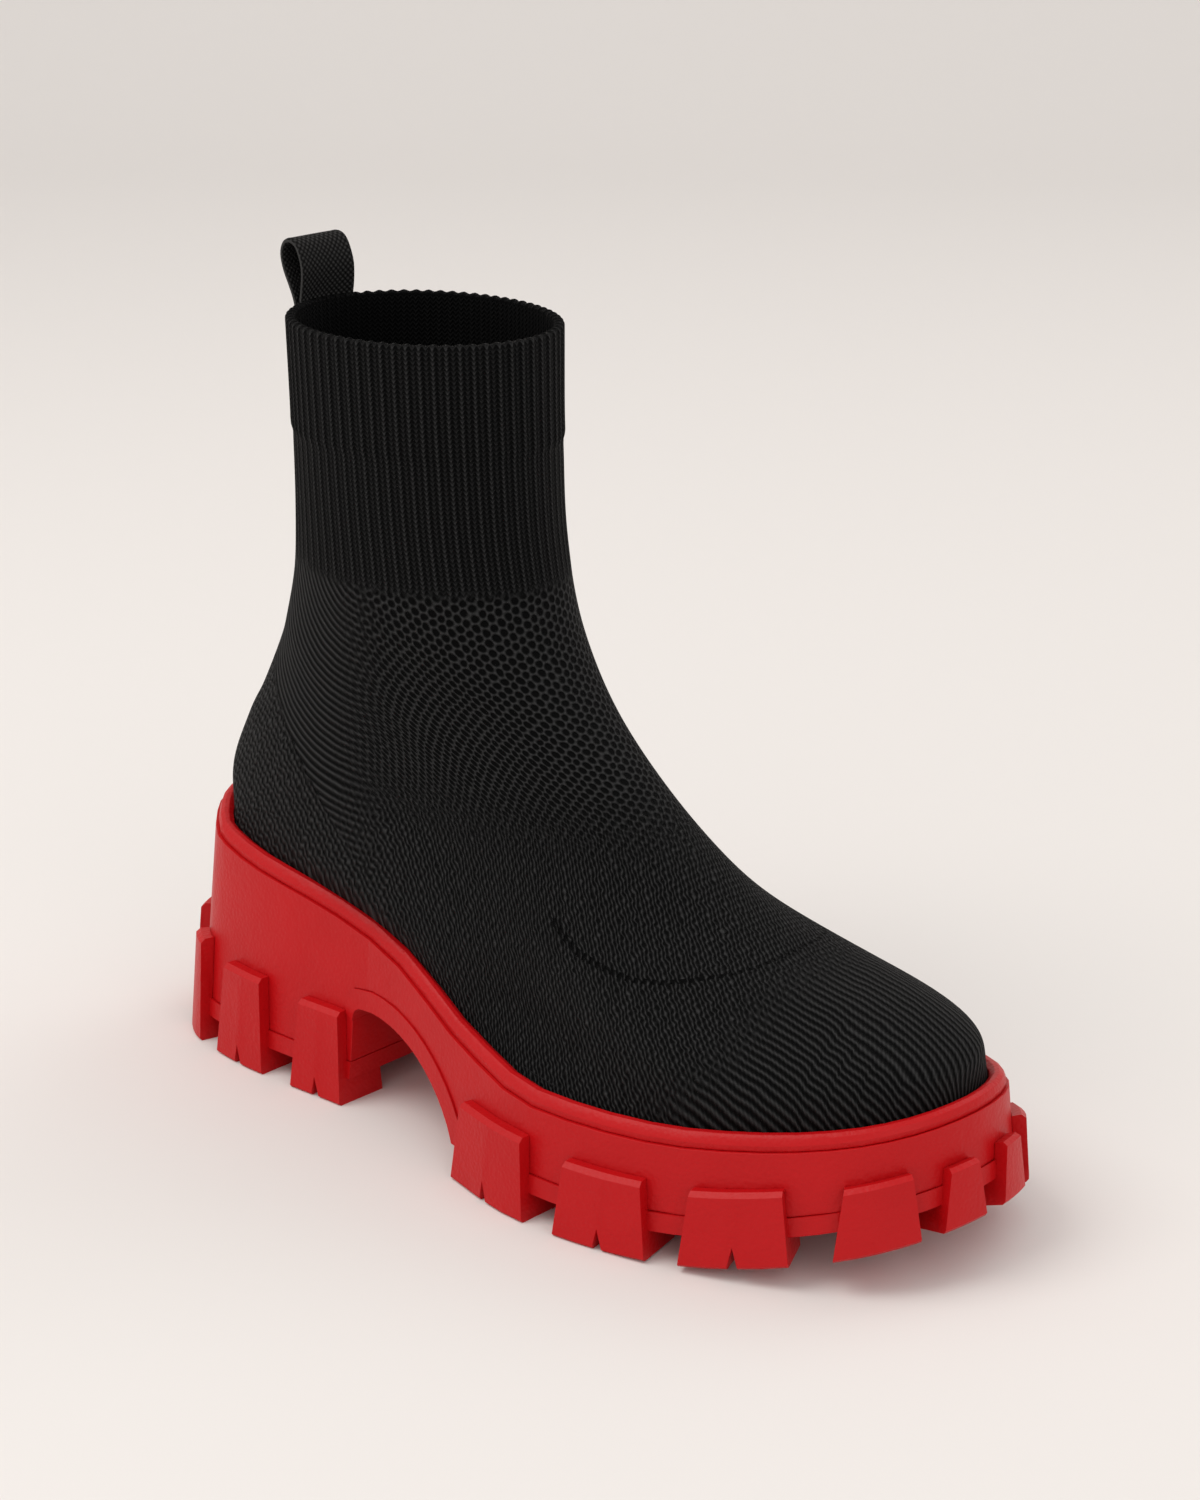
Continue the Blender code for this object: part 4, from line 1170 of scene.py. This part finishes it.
class BuildLoop(bpy.types.Operator):
    """Build the pull loop of folded webbing"""

    bl_idname = "sockboot.loop"
    bl_label = "Build pull loop"

    def execute(self, context):
        settings = context.scene.sock_loop
        rings, run = strap_rings()
        rows, count = rings.shape[:2]
        mesh = grid_mesh("pull_loop_look", rings - MIDDLE, webbing_material(settings))
        write_pairs(mesh, "weave", rings[:, :, 1], np.broadcast_to(run, (rows, count)))
        build = bmesh.new()
        build.from_mesh(mesh)
        build.verts.ensure_lookup_table()
        for first in (0, (rows - 1) * count):
            for i in range(count // 2 - 1):
                corners = (first + i, first + i + 1, first + count - 2 - i, first + count - 1 - i)
                build.faces.new([build.verts[corner] for corner in corners])
        bmesh.ops.recalc_face_normals(build, faces=build.faces)
        build.to_mesh(mesh)
        build.free()
        mesh.shade_smooth()
        fit(new_object("pull_loop_look", mesh), "pull_loop")
        return {"FINISHED"}


def area_light(lamp, power):
    data = bpy.data.lights.new(lamp.name, "AREA")
    with_settings(data, shape="DISK", size=lamp.size, energy=power, color=lamp.colour)
    aim = Vector((0, 0, lamp.aim_height)) - Vector(lamp.place)
    turn = aim.to_track_quat("-Z", "Y").to_euler()
    return with_settings(new_object(lamp.name, data), location=lamp.place, rotation_euler=turn)


def floor_material(settings):
    nodes = Nodes("studio_floor")
    return nodes.finish(opaque(settings.floor), roughness=0.85, Specular_IOR_Level=0.15)


def backdrop():
    """Floor that curves up into a wall behind the boot, seen from the camera."""
    build = bmesh.new()
    near, bend, radius, height, half = -2.5, 1.6, 0.9, 2.6, 5.0
    profile = [(near, 0.0)]
    for i in range(BEND_STEPS + 1):
        angle = math.pi / 2 * i / BEND_STEPS
        profile.append((bend + radius * math.sin(angle), radius * (1 - math.cos(angle))))
    profile.append((bend + radius, height))
    rows = [[build.verts.new((side, y, z)) for y, z in profile] for side in (-half, half)]
    for i in range(len(profile) - 1):
        build.faces.new((rows[0][i], rows[1][i], rows[1][i + 1], rows[0][i + 1]))
    mesh = bpy.data.meshes.new("backdrop")
    build.to_mesh(mesh)
    build.free()
    mesh.shade_smooth()
    return mesh


def photo_aim(azimuth):
    """Direction from the camera to the boot's middle, with the camera where it was in the photo."""
    sine, cosine = math.sin(CAMERA_RISE), math.cos(CAMERA_RISE)
    right = Vector((math.cos(azimuth), math.sin(azimuth), 0))
    back = Vector((math.sin(azimuth) * cosine, -math.cos(azimuth) * cosine, sine))
    up = back.cross(right)
    x, y = PHOTO_OFFSET
    return right * (x / PHOTO_FOCAL) + up * (y / PHOTO_FOCAL) - back


def studio_world():
    world = bpy.data.worlds.new("studio")
    world.use_nodes = True
    ground = world.node_tree.nodes["Background"]
    ground.inputs["Color"].default_value = opaque(WORLD_COLOUR)
    ground.inputs["Strength"].default_value = WORLD_STRENGTH
    return world


def photo_camera(settings):
    data = with_settings(bpy.data.cameras.new("camera"), lens=settings.focal, sensor_width=36.0)
    turn = photo_aim(settings.azimuth).to_track_quat("-Z", "Y").to_euler()
    return with_settings(new_object("camera", data), location=CAMERA_PLACE, rotation_euler=turn)


class BuildStage(bpy.types.Operator):
    """Set the pale floor, the soft lights and the camera"""

    bl_idname = "sockboot.stage"
    bl_label = "Build stage"

    def execute(self, context):
        scene, settings = context.scene, context.scene.sock_stage
        floor = new_object("backdrop", backdrop())
        floor.rotation_euler = (0, 0, settings.azimuth)
        floor.data.materials.append(floor_material(settings))
        scene.world = studio_world()
        scene.view_settings.view_transform = "Standard"
        lamps = [area_light(lamp, getattr(settings, lamp.power)) for lamp in LAMPS]
        camera = photo_camera(settings)
        scene.camera = camera
        return {"FINISHED"}


class SockBootPanel(bpy.types.Panel):
    """Lists the steps that build the boot"""

    bl_idname = "VIEW3D_PT_sock_boot"
    bl_label = "Sock boot"
    bl_space_type = "VIEW_3D"
    bl_region_type = "UI"
    bl_category = "Sock boot"

    def draw(self, context):
        layout = self.layout
        for name, kind in SETTINGS.items():
            box = layout.box()
            box.operator(name.replace("sock_", "sockboot."))
            for setting in kind.__annotations__:
                box.prop(getattr(context.scene, name), setting)
        layout.operator("sockboot.insole")


CLASSES = (
    SoleProps,
    UpperProps,
    LoopProps,
    StageProps,
    BuildSole,
    BuildInsole,
    BuildUpper,
    BuildLoop,
    BuildStage,
    SockBootPanel,
)
SETTINGS = {
    "sock_sole": SoleProps,
    "sock_upper": UpperProps,
    "sock_loop": LoopProps,
    "sock_stage": StageProps,
}


def register():
    for kind in CLASSES:
        bpy.utils.register_class(kind)
    for name, kind in SETTINGS.items():
        setattr(bpy.types.Scene, name, PointerProperty(type=kind))


def unregister():
    for name in SETTINGS:
        delattr(bpy.types.Scene, name)
    for kind in reversed(CLASSES):
        bpy.utils.unregister_class(kind)


def main():
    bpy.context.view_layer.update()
    register()
    bpy.ops.sockboot.sole()
    bpy.ops.sockboot.insole()
    bpy.ops.sockboot.upper()
    bpy.ops.sockboot.loop()
    bpy.ops.sockboot.stage()


if __name__ == "__main__":
    main()
